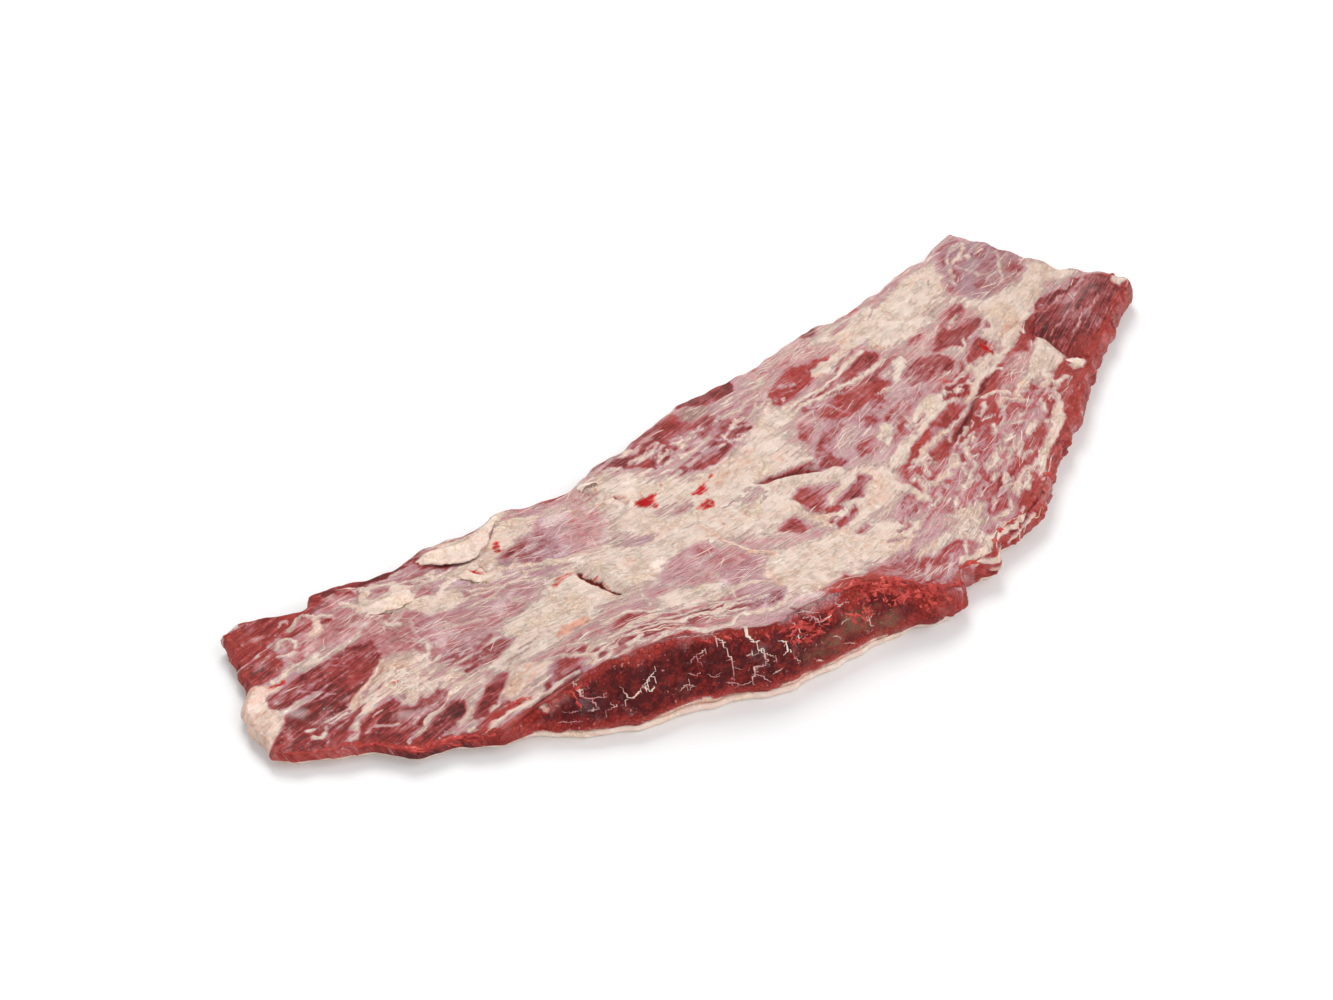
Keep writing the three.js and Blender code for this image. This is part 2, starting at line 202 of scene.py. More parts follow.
LEFT_PAINT = [
    area(BARE, 0.55, 2, (-262, 66), (-250, 66), (-243, 64), (-236, 68), (-233, 76), (-235, 82),
         (-226, 87), (-212, 86), (-201, 90), (-198, 97), (-209, 100), (-230, 110), (-262, 110)),
    area(THIN, 0.25, 2, (-236, 92), (-226, 90), (-222, 96), (-230, 101), (-240, 100)),
    area(CREAM, 0.32, 1, (-268, 68), (-260, 66), (-253, 66), (-250, 62), (-244, 60), (-246, 57), (-254, 57),
         (-257, 51), (-254, 47), (-254, 42), (-258, 38), (-266, 34), (-271, 30), (-285, 26), (-285, 60)),
    area(0.1, 0.12, 1.2, (-254, 56), (-246, 56), (-240, 58), (-228, 57), (-215, 58), (-205, 57),
         (-198, 55), (-198, 48), (-200, 42), (-204, 38), (-214, 35), (-224, 31), (-228, 29), (-240, 28),
         (-226, 25), (-222, 22), (-235, 19), (-245, 10), (-252, 12), (-262, 17), (-276, 22), (-272, 29),
         (-266, 33), (-258, 37), (-253, 42), (-253, 48), (-256, 51)),
    area(0.3, 0.1, 3, (-254, 55), (-240, 57), (-228, 56), (-226, 49), (-238, 48), (-254, 48)),
    area(THIN, 0.2, 3, (-226, 56), (-206, 56), (-200, 48), (-216, 46), (-228, 50)),
    area(0.66, -0.1, 1.2, (-254, 45.5), (-246, 46), (-238, 46.5), (-235, 44.5), (-240, 42), (-254, 41.5)),
    area(BARE, 0.7, 4, (-280, 24), (-262, 18), (-250, 14), (-244, 4), (-256, 4), (-280, 14)),
    area(BARE, 0.35, 4, (-216, 46), (-205, 45), (-203, 40), (-212, 38), (-222, 36)),
    stroke(MILKY, 0, 1.4, (-240, 50), (-233, 43), (-229, 40)),
    stroke(MILKY, 0, 1.0, (-236, 44), (-228, 46.5)),
    stroke(0.4, 0, 0.9, (-222, 58), (-216, 50)),
    stroke(0.42, 0, 0.9, (-206, 49), (-198, 47)),
    stroke(0.42, 0, 0.9, (-247, 55), (-240, 51)),
    stroke(0.42, 0, 0.9, (-243, 41), (-228, 42)),
    stroke(0.36, 0, 0.8, (-262, 27), (-250, 30), (-238, 32)),
    stroke(0.36, 0, 0.8, (-258, 22), (-246, 24), (-232, 27)),
    stroke(0.4, 0, 0.8, (-250, 16), (-242, 20), (-235, 22)),
    stroke(CREAM, 0.2, 1.8, (-250, 25.5), (-248.5, 22.8), (-247.3, 22.3)),
    stroke(CREAM, 0, 1.6, (-245.5, 24), (-244.3, 25)),
    stroke(CREAM, 0, 1.8, (-249, 28.4), (-248, 28.2)),
    stroke(0.8, 0.5, 2.6, (-258, 12), (-250, 9), (-243, 4)),
    stroke(PALE, 0, 1.4, (-258, 81), (-248, 80), (-240, 82), (-233, 83)),
    stroke(PALE, 0, 2.2, (-252, 99), (-246, 101), (-240, 100)),
    stroke(0.6, 0.2, 1.4, (-229, 88), (-224, 91), (-221, 89)),
    area(0.42, 0.1, 3, (-234, 72), (-226, 68), (-212, 70), (-204, 78), (-198, 84), (-192, 90), (-198, 92),
         (-204, 86), (-216, 85), (-228, 86)),
    stroke(THIN, 0.25, 4, (-226, 84), (-215, 81), (-205, 79)),
    stroke(0.3, 0.1, 3, (-226, 73), (-214, 73), (-204, 70)),
    stroke(CREAM, 0, 1.5, (-232, 79), (-229, 82), (-225, 81), (-224, 77), (-226, 74)),
    stroke(0.82, 0.1, 2.2, (-235, 74), (-232, 72), (-228, 72)),
    stroke(0.8, 0.1, 2, (-222, 86), (-214, 88), (-208, 84), (-202, 80)),
    stroke(0.8, 0.3, 4, (-216, 76), (-211, 77), (-209, 82)),
    stroke(0.76, 0.1, 4, (-246, 63.5), (-238, 64), (-228, 62.5), (-222, 63)),
    stroke(0.7, 0, 3, (-232, 60), (-220, 60), (-208, 61), (-198, 62)),
    stroke(0.72, 0.1, 2, (-229, 60), (-226, 64), (-223, 68)),
    area(THIN, 0.1, 1.6, (-198, 96), (-186, 94), (-175, 88), (-180, 84), (-186, 82), (-190, 88), (-198, 91)),
    stroke(0.9, 0.1, 2.8, (-192, 92), (-184, 87), (-177, 81), (-168, 77)),
    stroke(0.85, 0.3, 3, (-194, 84), (-191, 78), (-190, 72)),
    area(CREAM, 0.1, 1.2, (-191, 72), (-187, 78), (-184, 84), (-181, 84), (-180, 80), (-175, 77), (-168, 76),
         (-164, 68), (-166, 63), (-174, 64), (-182, 64), (-186, 68)),
    area(0.42, -0.2, 1, (-186, 78), (-178, 80), (-171, 78), (-174, 75), (-182, 75)),
    area(0.92, 0.15, 1.2, (-173, 60), (-164, 60), (-158, 54), (-166, 51), (-172, 54)),
    area(0.88, 0.3, 1.2, (-171, 90), (-162, 90), (-158, 84), (-163, 80), (-170, 82)),
    area(0.74, 0.22, 1.4, (-205, 36), (-202, 39), (-192, 40), (-187, 36), (-185, 28), (-190, 21), (-197, 24),
         (-204, 28), (-213, 30), (-213, 34)),
    stroke(0.88, 0.45, 3, (-228, 29.5), (-221, 32), (-214, 34.5), (-207, 38), (-202, 39.5)),
    stroke(0.92, 0.2, 3, (-228, 27.5), (-218, 28.5), (-208, 31)),
    stroke(0.9, 0.1, 2.4, (-224, 26), (-216, 24.5), (-208, 27), (-200, 26)),
    stroke(0.9, 0.1, 3.6, (-226, 21.5), (-216, 23), (-208, 24), (-202, 20)),
    stroke(0.9, 0.1, 2.2, (-204, 30), (-206, 24), (-203, 18), (-206, 13), (-201, 12)),
    stroke(0.92, 0.1, 2.4, (-199, 24), (-196, 17), (-197, 10)),
    stroke(0.95, 0.0, 1.6, (-194, 24), (-195, 18), (-193, 12)),
    stroke(0.8, 0.1, 2.2, (-210, 17), (-206, 11), (-202, 15), (-208, 19)),
    stroke(0.8, 0.1, 1.0, (-243, 28), (-234, 28.5), (-226, 28)),
    stroke(0.8, 0.1, 1.0, (-241, 26), (-232, 26.5)),
    stroke(0.7, 0.1, 0.9, (-236, 24), (-227, 25.5)),
    area(0.72, -0.05, 1.2, (-245, 10), (-241, 12), (-236, 17), (-232, 20.5), (-226, 21), (-214, 23),
         (-222, 19), (-231, 17.5), (-234, 12), (-238, 8)),
    area(0.14, 0.15, 1.2, (-236, 8), (-231, 15), (-222, 18), (-212, 19), (-207, 10), (-200, 9),
         (-193, 10), (-190, 4), (-196, 2), (-204, 0), (-214, -2), (-222, -2), (-232, 2)),
    area(BARE, 0.5, 3, (-240, 8), (-232, 6), (-224, -2), (-214, -8), (-206, -15), (-198, -20), (-205, -24),
         (-228, -12), (-242, 0)),
    stroke(0.55, 0, 1.2, (-232, 9), (-224, 13)),
    stroke(0.5, 0, 1.2, (-222, 1), (-210, 5)),
    stroke(0.66, 0, 2.2, (-225, 11), (-222, 8), (-219, 6)),
    stroke(0.45, 0, 1.0, (-218, 13), (-206, 15)),
    stroke(0.55, 0, 1.2, (-214, 2), (-204, 5), (-197, 8)),
    stroke(0.88, 0.0, 2.6, (-222, -6), (-212, -4), (-207, -0.5), (-200, 1), (-192, 3), (-186, 5)),
    area(0.14, 0.0, 1.2, (-216, -8), (-206, -4), (-196, -0.5), (-188, 0), (-187, -6), (-196, -12),
         (-206, -14), (-212, -12)),
    area(0.62, 0.1, 3, (-190, 24), (-183, 20), (-178, 10), (-173, 2), (-168, -4), (-180, -6), (-190, -6),
         (-194, 0), (-190, 4), (-192, 12)),
    area(0.3, -0.15, 2.4, (-184, 23), (-176, 24), (-162, 23), (-157, 17), (-152, 9), (-162, 4),
         (-170, 5), (-176, 12), (-182, 17)),
    stroke(0.72, 0.1, 1.6, (-180, 16), (-168, 14), (-158, 15)),
    stroke(0.6, 0.1, 1.2, (-176, 19), (-164, 19)),
    stroke(THIN, -0.3, 1.6, (-179, 8), (-173, 7)),
    area(0.8, 0.0, 1.5, (-199, -15), (-199, -11), (-194, -10), (-186, -4), (-180, -5), (-188, -10),
         (-193, -14)),
    area(0.18, 0.1, 1.4, (-192, -16), (-184, -10), (-178, -5), (-170, -4), (-164, -5), (-172, -10),
         (-176, -16), (-186, -20)),
    stroke(0.5, 0, 1.2, (-208, -14), (-198, -18)),
    stroke(0.62, 0, 1.2, (-204, -17), (-192, -17)),
    stroke(0.62, 0, 1.0, (-196, -19.5), (-186, -19)),
    stroke(0.7, 0, 1.6, (-184, -18), (-176, -14), (-170, -12)),
    area(CREAM, 0.0, 0.8, (-197, -18), (-194, -20), (-196, -24), (-199, -21)),
    area(BARE, 0.8, 2, (-200, -23), (-186, -19.5), (-174, -20), (-168, -24), (-184, -25), (-196, -28)),
    # A dark patch, painted shade beside the fold at the corner.
    area(0.1, -0.3, 2, (-178, -29), (-168, -29.5), (-158, -27), (-150, -23), (-144, -28), (-150, -40),
         (-172, -42)),
    stroke(0.86, 0.35, 3.2, (-195, -26), (-187, -24), (-179, -24.5), (-170, -27), (-164, -28)),
    area(0.86, 0.3, 1.6, (-175, -13), (-168, -9), (-158, -10), (-150, -18), (-157, -25), (-165, -28),
         (-171, -26), (-174, -20)),
    area(0.9, 0.5, 3, (-166, -14), (-160, -12), (-158, -20), (-163, -24)),
    area(0.16, 0.1, 3, (-246, 82), (-240, 72), (-244, 64), (-252, 72)),
    area(0.12, 0.3, 3, (-258, 34), (-252, 26), (-244, 12), (-236, 12), (-244, 24), (-250, 34)),
    area(0.3, -0.2, 2.5, (-208, 18), (-204, 6), (-198, -2), (-194, 4), (-200, 14)),
    stroke(0.14, 0.15, 4, (-197, 93), (-184, 89), (-171, 85), (-158, 82)),
    stroke(0.6, 0.9, 2.4, (-227, 26), (-221, 28), (-215, 31), (-209, 35), (-204, 37)),
    stroke(0.99, -0.2, 2.0, (-251, 28.5), (-249.5, 27.8), (-248, 27.2)),
    stroke(0.99, -0.2, 2.2, (-251, 24), (-249.5, 22.6), (-247.6, 21.3), (-246, 21.5)),
    stroke(0.99, -0.2, 2.0, (-245.6, 22.6), (-244.6, 23.6), (-244, 25)),
]

MIDDLE_PAINT = [
    area(0.34, 0.0, 1.6, (-161, 85), (-154, 87), (-148, 85), (-150, 80), (-145, 76), (-140, 70), (-137, 65),
         (-142, 63), (-148, 68), (-152, 75), (-157, 80)),
    area(0.14, -0.1, 1.6, (-158, 84), (-151, 83), (-146, 76), (-140, 70), (-142, 66), (-149, 72), (-154, 80)),
    area(BARE, 0.5, 2, (-172, 90), (-152, 89), (-140, 88), (-142, 85), (-158, 86), (-170, 87)),
    area(0.92, 0.12, 1.6, (-172, 64), (-160, 56), (-152, 62), (-144, 65), (-136, 65), (-122, 62), (-124, 54),
         (-128, 46), (-136, 47), (-145, 50), (-152, 46), (-160, 44), (-170, 50)),
    area(0.44, -0.1, 2, (-166, 70), (-156, 74), (-148, 68), (-150, 62), (-160, 60), (-165, 64)),
    area(0.4, -0.2, 1.2, (-150, 58), (-146, 60), (-143, 57), (-142, 50), (-143, 45), (-149, 47), (-151, 52)),
    area(0.62, -0.3, 1, (-156, 88), (-142, 90), (-130, 84), (-128, 80), (-136, 80), (-146, 84)),
    area(CREAM, 0.06, 1, (-152, 81), (-140, 81), (-128, 77), (-121, 76), (-112, 78), (-107, 81), (-100, 79),
         (-106, 76), (-116, 72), (-121, 69), (-122, 65), (-128, 66), (-134, 67), (-140, 71), (-145, 77),
         (-150, 81)),
    area(0.58, -0.2, 1.5, (-137, 87), (-130, 86), (-121, 82), (-127, 79)),
    area(BARE, 0.7, 1.0, (-128, 80), (-122, 86), (-108, 86), (-99, 83), (-106, 80), (-112, 81),
         (-118, 77.5), (-124, 77)),
    area(0.24, 0.15, 2.4, (-104, 84), (-100, 80), (-92, 76), (-84, 73), (-76, 70), (-68, 70), (-66, 76),
         (-84, 80)),
    area(0.93, 0.12, 1.6, (-121, 68), (-112, 72), (-104, 75), (-97, 73), (-92, 66), (-98, 60), (-110, 59),
         (-122, 57), (-132, 60), (-134, 64), (-126, 66)),
    area(0.44, 0.0, 5, (-126, 54), (-116, 60), (-96, 62), (-78, 58), (-68, 52), (-68, 40), (-78, 33),
         (-92, 31), (-102, 32), (-110, 38), (-118, 46)),
    area(0.3, -0.12, 3, (-127, 53), (-118, 58), (-106, 60), (-96, 58), (-94, 48), (-98, 38), (-102, 33),
         (-108, 38), (-114, 44), (-120, 50)),
    stroke(0.55, 0.0, 1.0, (-120, 52), (-106, 53), (-94, 55)),
    stroke(0.5, 0.0, 1.0, (-112, 44), (-98, 46), (-84, 50)),
    stroke(0.9, 0.15, 3.4, (-130, 53), (-120, 46), (-110, 38), (-102, 32), (-94, 29)),
    area(0.95, 0.1, 1, (-110, 37), (-107, 39), (-104, 34), (-96, 31), (-92, 28), (-100, 28), (-108, 33)),
    stroke(0.8, 0.1, 2.2, (-158, 54), (-150, 46), (-140, 41), (-130, 38), (-120, 38)),
    stroke(0.76, 0.3, 1.4, (-152, 40), (-140, 37), (-128, 39), (-118, 34)),
    stroke(0.76, 0.1, 1.8, (-150, 52), (-140, 44), (-126, 36), (-116, 28)),
    stroke(0.76, 0.1, 1.8, (-136, 48), (-122, 42), (-112, 34)),
    stroke(0.7, 0.25, 1.8, (-168, 38), (-154, 28), (-140, 22)),
    stroke(0.7, 0.1, 1.6, (-146, 40), (-137, 31), (-132, 24)),
    stroke(0.68, 0.1, 1.6, (-186, 60), (-184, 45), (-180, 32)),
    stroke(0.68, 0.1, 1.4, (-178, 52), (-181, 40), (-176, 28)),
    area(0.4, -0.1, 3, (-154, 26), (-142, 28), (-132, 24), (-136, 20), (-150, 20)),
    area(0.42, -0.15, 4, (-196, 56), (-180, 56), (-182, 44), (-198, 44)),
    area(0.58, -0.2, 3, (-80, 27), (-72, 32), (-66, 24), (-60, 14), (-70, 12), (-80, 18)),
    area(0.36, -0.2, 2, (-75, 20), (-66, 19), (-63, 15), (-70, 15)),
    stroke(0.62, 0.6, 3, (-66, 67), (-63, 61), (-60, 58)),
    stroke(0.7, 0.7, 2.5, (-65, 52), (-60, 49), (-55, 47), (-54, 43)),
    stroke(0.7, 0.6, 2.4, (-61, 59), (-58, 62), (-55, 65)),
    stroke(0.72, 0.5, 2.0, (-78, 62), (-76, 57), (-78, 54)),
    area(0.28, -0.15, 2, (-172, 13), (-160, 14), (-156, 10), (-149, 8), (-157, 5), (-164, 4), (-172, 7)),
    stroke(0.3, -0.1, 1.4, (-172, 18), (-164, 17), (-158, 18)),
    area(0.22, 0.0, 1.4, (-172, -3), (-166, -4), (-168, -7), (-174, -6)),
    stroke(0.72, -0.3, 4, (-166, -4), (-150, -2), (-138, -4)),
    stroke(0.78, 0.9, 5, (-137, -9), (-130, -8), (-124, -10)),
    area(0.44, -0.05, 3, (-162, -22), (-148, -18), (-138, -15), (-125, -16), (-112, -16), (-100, -19),
         (-86, -15), (-74, -9), (-60, -5), (-50, -12), (-50, -34), (-62, -38), (-48, -46), (-50, -60),
         (-56, -66), (-70, -62), (-84, -62), (-94, -58), (-104, -54), (-118, -46), (-130, -40), (-140, -34),
         (-154, -30)),
    area(0.18, 0.15, 2, (-166, -29), (-156, -26), (-148, -22), (-140, -20), (-136, -26), (-142, -30),
         (-152, -34), (-164, -36)),
    area(0.22, 0.1, 1.4, (-122, -25), (-116, -22), (-106, -22), (-100, -26), (-98, -31), (-106, -29),
         (-118, -28)),
    area(0.26, 0.0, 1.4, (-118, -34), (-106, -33), (-98, -37), (-100, -42), (-110, -38), (-118, -37)),
    area(0.3, 0.15, 3, (-80, -10), (-66, -6), (-54, -4), (-48, -8), (-50, -14), (-66, -16), (-78, -17)),
    area(0.84, 0.05, 4, (-92, -22), (-78, -24), (-68, -32), (-60, -38), (-70, -42), (-84, -38), (-96, -32)),
    area(0.32, 0.0, 3, (-84, -44), (-72, -42), (-60, -46), (-62, -54), (-72, -58), (-82, -52)),
    area(0.4, 0.0, 3, (-60, -18), (-44, -20), (-40, -34), (-46, -46), (-60, -42)),
    stroke(0.22, 0.4, 2.6, (-90, -46), (-82, -51), (-76, -56)),
    stroke(0.22, 0.2, 2.2, (-112, -28), (-104, -31), (-96, -36), (-88, -42)),
    stroke(0.92, 0.05, 2.4, (-120, -18), (-110, -20), (-104, -24), (-97, -30)),
    stroke(0.9, 0.1, 2.8, (-126, -31), (-112, -29), (-102, -31), (-95, -34)),
    stroke(0.85, 0.05, 1.1, (-115, -30), (-114.5, -38)),
    stroke(0.9, 0.1, 2.6, (-128, -36), (-120, -36), (-112, -41), (-104, -47), (-96, -54), (-90, -60)),
    stroke(0.82, 0.1, 1.6, (-112, -41), (-102, -44), (-95, -49)),
    stroke(0.8, 0.0, 0.9, (-95, -14), (-96, -25)),
    stroke(0.78, 0.1, 1.6, (-90, -48), (-84, -54), (-78, -58)),
    stroke(0.82, 0.1, 2.2, (-64, -42), (-56, -46), (-49, -52)),
    stroke(0.78, 0.1, 1.8, (-71, -52), (-66, -44), (-64, -38)),
    stroke(0.86, 0.15, 2.6, (-94, -60), (-84, -63), (-76, -61), (-70, -64), (-62, -68), (-52, -67)),
    stroke(0.6, 0, 2, (-82, -16), (-79, -22), (-74, -30)),
    stroke(0.8, 0.1, 2, (-146, -21), (-140, -28), (-134, -33)),
    stroke(0.74, 0.2, 2, (-140, -18), (-132, -23), (-124, -26)),
    stroke(CREAM, -0.1, 1.8, (-144, -33), (-140, -33.5)),
    stroke(0.7, 0.9, 3, (-63.5, -28), (-61.5, -28)),
    stroke(0.8, 0.45, 3, (-43, 3), (-42, -8), (-42, -20), (-38, -30), (-34, -40)),
    stroke(0.8, 0.4, 2, (-36, 3), (-35, -6)),
    stroke(0.8, 0.5, 1.6, (-22, -3), (-23, -8)),
    stroke(0.8, 0.4, 2, (-20, -11), (-15, -16), (-10, -17)),
    area(0.56, -0.1, 4, (-20, 4), (-10, 8), (-2, 6), (-6, -4), (-18, -4)),
    stroke(0.5, -0.3, 1.8, (-27, 4), (-20, 5)),
    stroke(0.5, -0.25, 2, (-8, 3), (-3, 3)),
    area(0.62, -0.15, 3, (-50, 30), (-36, 31), (-31, 24), (-35, 17), (-46, 18), (-53, 20)),
    area(0.42, -0.1, 2, (-44, 22), (-38, 23), (-35, 19), (-42, 18)),
    stroke(0.5, -0.2, 2.4, (-24, 34), (-18, 33)),
    area(0.3, 0.1, 1.2, (-21, -27), (-14, -24), (-6, -22.5), (-4, -27), (-6, -33), (-12, -36), (-15, -31)),
    area(0.48, 0.0, 3, (-30, -36), (-16, -36), (-4, -38), (-8, -42), (-24, -40)),
    area(0.34, 0.1, 2.6, (-40, -75), (-26, -71), (-18, -70), (-12, -77), (-2, -75), (10, -72), (18, -70),
         (20, -78), (14, -90), (6, -98), (-4, -94), (-14, -86), (-28, -80), (-40, -80)),
    area(BARE, 0.4, 1.6, (-28, -75), (-20, -70), (-18, -72), (-24, -77)),
    area(0.92, 0.1, 1, (-20, -71), (-14, -72), (-10, -76), (-14, -79), (-17, -76)),
    stroke(0.8, 0.05, 1.6, (-10, -72), (2, -71), (10, -69)),
    stroke(0.62, 0.0, 1.4, (-6, -80), (2, -84), (8, -90)),
    stroke(0.66, 0.0, 1.4, (14, -74), (8, -84), (2, -90)),
]

FAR_PAINT = [
    area(0.32, -0.05, 2, (-50, 82), (-36, 84), (-20, 84), (-11, 82), (-13, 76), (-22, 74), (-32, 72),
         (-40, 65),
         (-46, 68), (-50, 74)),
    stroke(0.72, 0, 1.6, (-50, 74), (-42, 74), (-36, 76)),
    area(0.28, 0.05, 3, (-13, 82), (0, 84), (10, 80), (18, 72), (26, 66), (28, 58), (20, 50), (6, 50),
         (-8, 52),
         (-12, 62)),
    area(0.1, 0.15, 1.2, (-39, 70), (-33, 73), (-26, 70), (-20, 72.5), (-11, 71), (-8, 64), (-9, 58),
         (-15, 54),
         (-22, 52), (-28, 54), (-32, 60), (-38, 63)),
    stroke(0.74, 0.1, 1.6, (-34, 66), (-27, 67), (-21, 64), (-16, 62)),
    stroke(BARE, 0.6, 3, (-30, 59), (-24, 62), (-18, 66), (-12, 70)),
    stroke(CREAM, 0, 1.5, (-17, 66.5), (-13, 68)),
    stroke(0.66, 0, 2.4, (-20, 52), (-12, 56), (-2, 59)),
    stroke(0.66, 0, 2.6, (-26, 47), (-16, 48), (-4, 51), (8, 53)),
    area(0.16, 0.1, 1.2, (-27, 46), (-20, 45), (-10, 47), (0, 49), (8, 50), (16, 54), (26, 53),
         (31, 48), (28, 44),
         (18, 41), (8, 38), (-2, 36), (-12, 35), (-18, 39), (-24, 40)),
    stroke(0.42, -0.1, 2.6, (-16, 44), (-6, 45), (4, 44)),
    stroke(CREAM, 0, 1.6, (13, 49), (13, 42)),
    stroke(0.7, 0, 1.4, (13, 49), (20, 51), (26, 51)),
    stroke(BARE, 0.45, 3, (-11, 36.5), (-2, 38)),
    area(0.1, 0.75, 1.6, (-5, 75), (-1, 80), (6, 83), (8, 76), (3, 73)),
    area(0.54, -0.35, 2, (8, 80), (16, 81), (24, 76), (27, 70), (20, 68), (10, 70)),
    area(0.1, 0.2, 1.2, (12, 84), (22, 90), (40, 90), (47, 84), (46, 78), (42, 74), (34, 73), (26, 74),
         (19, 78)),
    area(0.5, -0.1, 4, (26, 72), (44, 72), (60, 78), (92, 78), (96, 70), (60, 68), (46, 60), (44, 52),
         (30, 52),
         (20, 60)),
    stroke(0.34, -0.05, 2.4, (24, 63), (34, 64), (44, 66)),
    stroke(0.34, -0.05, 2.2, (28, 55), (38, 58), (46, 58)),
    stroke(0.3, 0.1, 4, (14, 58), (20, 57), (24, 54)),
    stroke(0.78, 0, 1.4, (22, 60), (30, 58.5), (40, 62), (52, 64)),
    stroke(0.74, 0, 1.4, (26, 54), (34, 52), (44, 55)),
    stroke(0.76, 0, 1.6, (30, 69), (44, 70), (60, 70)),
    stroke(0.7, 0, 1.2, (20, 66), (30, 66), (44, 68)),
    stroke(0.7, 0, 2, (50, 74), (60, 72), (66, 76)),
    stroke(0.38, -0.05, 3, (62, 82), (70, 83), (78, 82)),
    stroke(0.4, 0, 3, (64, 77), (72, 76), (78, 72)),
    area(0.3, -0.5, 2, (99, 80), (106, 82), (112, 88), (100, 90)),
    area(0.12, 0.5, 1.4, (44, 53), (50, 57), (56, 62), (66, 65), (78, 68), (90, 65), (102, 62), (100, 60.5),
         (84, 60.5), (80, 54), (70, 51), (60, 49), (50, 48)),
    stroke(0.5, 0.1, 0.9, (50, 60), (60, 60), (70, 58)),
    stroke(0.45, 0.2, 0.9, (56, 55), (66, 56), (76, 57)),
    stroke(0.93, 0.05, 7, (83, 57), (94, 57), (108, 60), (120, 62)),
    stroke(0.86, 0.6, 3, (82, 55), (85, 55)),
    stroke(0.26, -0.15, 3, (93, 50), (99, 53), (105, 55), (109, 57)),
    stroke(0.44, -0.1, 2.4, (112, 57), (121, 58)),
    area(0.3, 0.0, 3, (54, 46), (70, 47), (92, 47), (92, 38), (104, 36), (104, 24), (96, 19), (74, 14),
         (58, 20),
         (54, 32)),
    area(0.24, 0.05, 1, (90, 45), (100, 48), (110, 51), (118, 51), (116, 45), (113, 42), (104, 40), (97, 41),
         (86, 42)),
    stroke(0.7, 0.8, 2.2, (115, 50.5), (119, 50), (121, 48)),
    stroke(0.92, 0, 2.4, (48, 43), (62, 46), (76, 45.5), (88, 46.5), (98, 50), (112, 52)),
    stroke(0.9, 0, 3, (46, 37), (60, 41), (74, 38.5), (90, 37), (104, 38.5), (116, 41)),
    stroke(0.24, 0.15, 2.4, (70, 41.5), (84, 41.5), (97, 40)),
    stroke(0.72, 0, 1.2, (54, 33), (66, 35), (80, 34)),
    stroke(0.6, 0, 1, (60, 37), (72, 37)),
    area(0.13, 0.45, 1.4, (55, 27), (62, 29), (68, 31), (78, 33.5), (88, 32), (100, 30), (106, 26), (104, 23),
         (96, 21), (92, 17.5), (84, 20), (72, 20), (62, 20.5)),
    stroke(0.5, 0.2, 1.4, (67, 32), (70, 26), (73, 20)),
    stroke(0.3, -0.05, 4, (62, 17), (76, 16), (90, 16)),
    stroke(0.8, 0.1, 2, (92, 21), (100, 22), (110, 24)),
    area(0.26, 0.0, 1, (94, 35), (108, 38), (122, 40), (123, 36), (112, 33.5), (100, 34)),
    area(0.24, -0.1, 1.4, (109, 14), (112, 24), (120, 28), (130, 29), (140, 24), (141, 13), (138, 10),
         (128, 12),
         (118, 10)),
    area(0.15, 0.0, 3, (128, 20), (136, 20), (138, 14), (130, 13)),
    area(0.66, -0.05, 1.4, (103, 28), (105, 33), (112, 34), (110, 28)),
    area(0.95, 0.05, 0.9, (106, 25), (113, 30), (117, 35), (124, 36), (123, 31), (117, 27), (110, 24)),
    area(0.28, -0.15, 1, (132, 40), (138, 44.5), (148, 43.5), (144, 40), (138, 37.5)),
    area(0.32, -0.1, 3, (139, 29), (144, 34), (152, 37), (160, 44), (170, 49), (182, 51), (181, 45),
         (172, 38),
         (178, 33), (178, 29), (160, 18), (151, 18), (148, 26), (141, 26)),
    area(0.12, 0.0, 1.2, (141, 29), (148, 35), (158, 39), (160, 34), (170, 33), (178, 32), (176, 28.5),
         (168, 25),
         (158, 20), (151, 19), (151, 25), (146, 28)),
    area(0.2, -0.1, 1.4, (164, 41), (172, 48), (182, 50), (178, 44), (168, 39)),
    area(0.66, -0.1, 1.2, (141, 25), (149, 26), (151, 20), (148, 14), (142, 12), (141, 18)),
    stroke(0.78, 0, 1.6, (146, 14), (152, 18), (158, 24)),
    stroke(0.7, 0, 2, (160, 22), (168, 23), (176, 25)),
    stroke(0.3, -0.2, 2.4, (171, 22), (177, 24)),
    area(0.42, -0.1, 1, (109, 75), (118, 78), (129, 79.5), (124, 75), (115, 72.5)),
    stroke(0.5, -0.1, 3, (138, 73), (143, 76), (147, 76)),
    stroke(0.8, 0.6, 2, (110, 65), (114, 66), (122, 68)),
    area(0.38, -0.1, 2.4, (148, 82), (160, 86), (172, 87), (170, 82), (158, 80)),
    stroke(0.7, 0.05, 1.4, (150, 84), (158, 82), (166, 85)),
    area(0.62, -0.15, 4, (156, 54), (170, 60), (176, 54), (164, 48)),
]

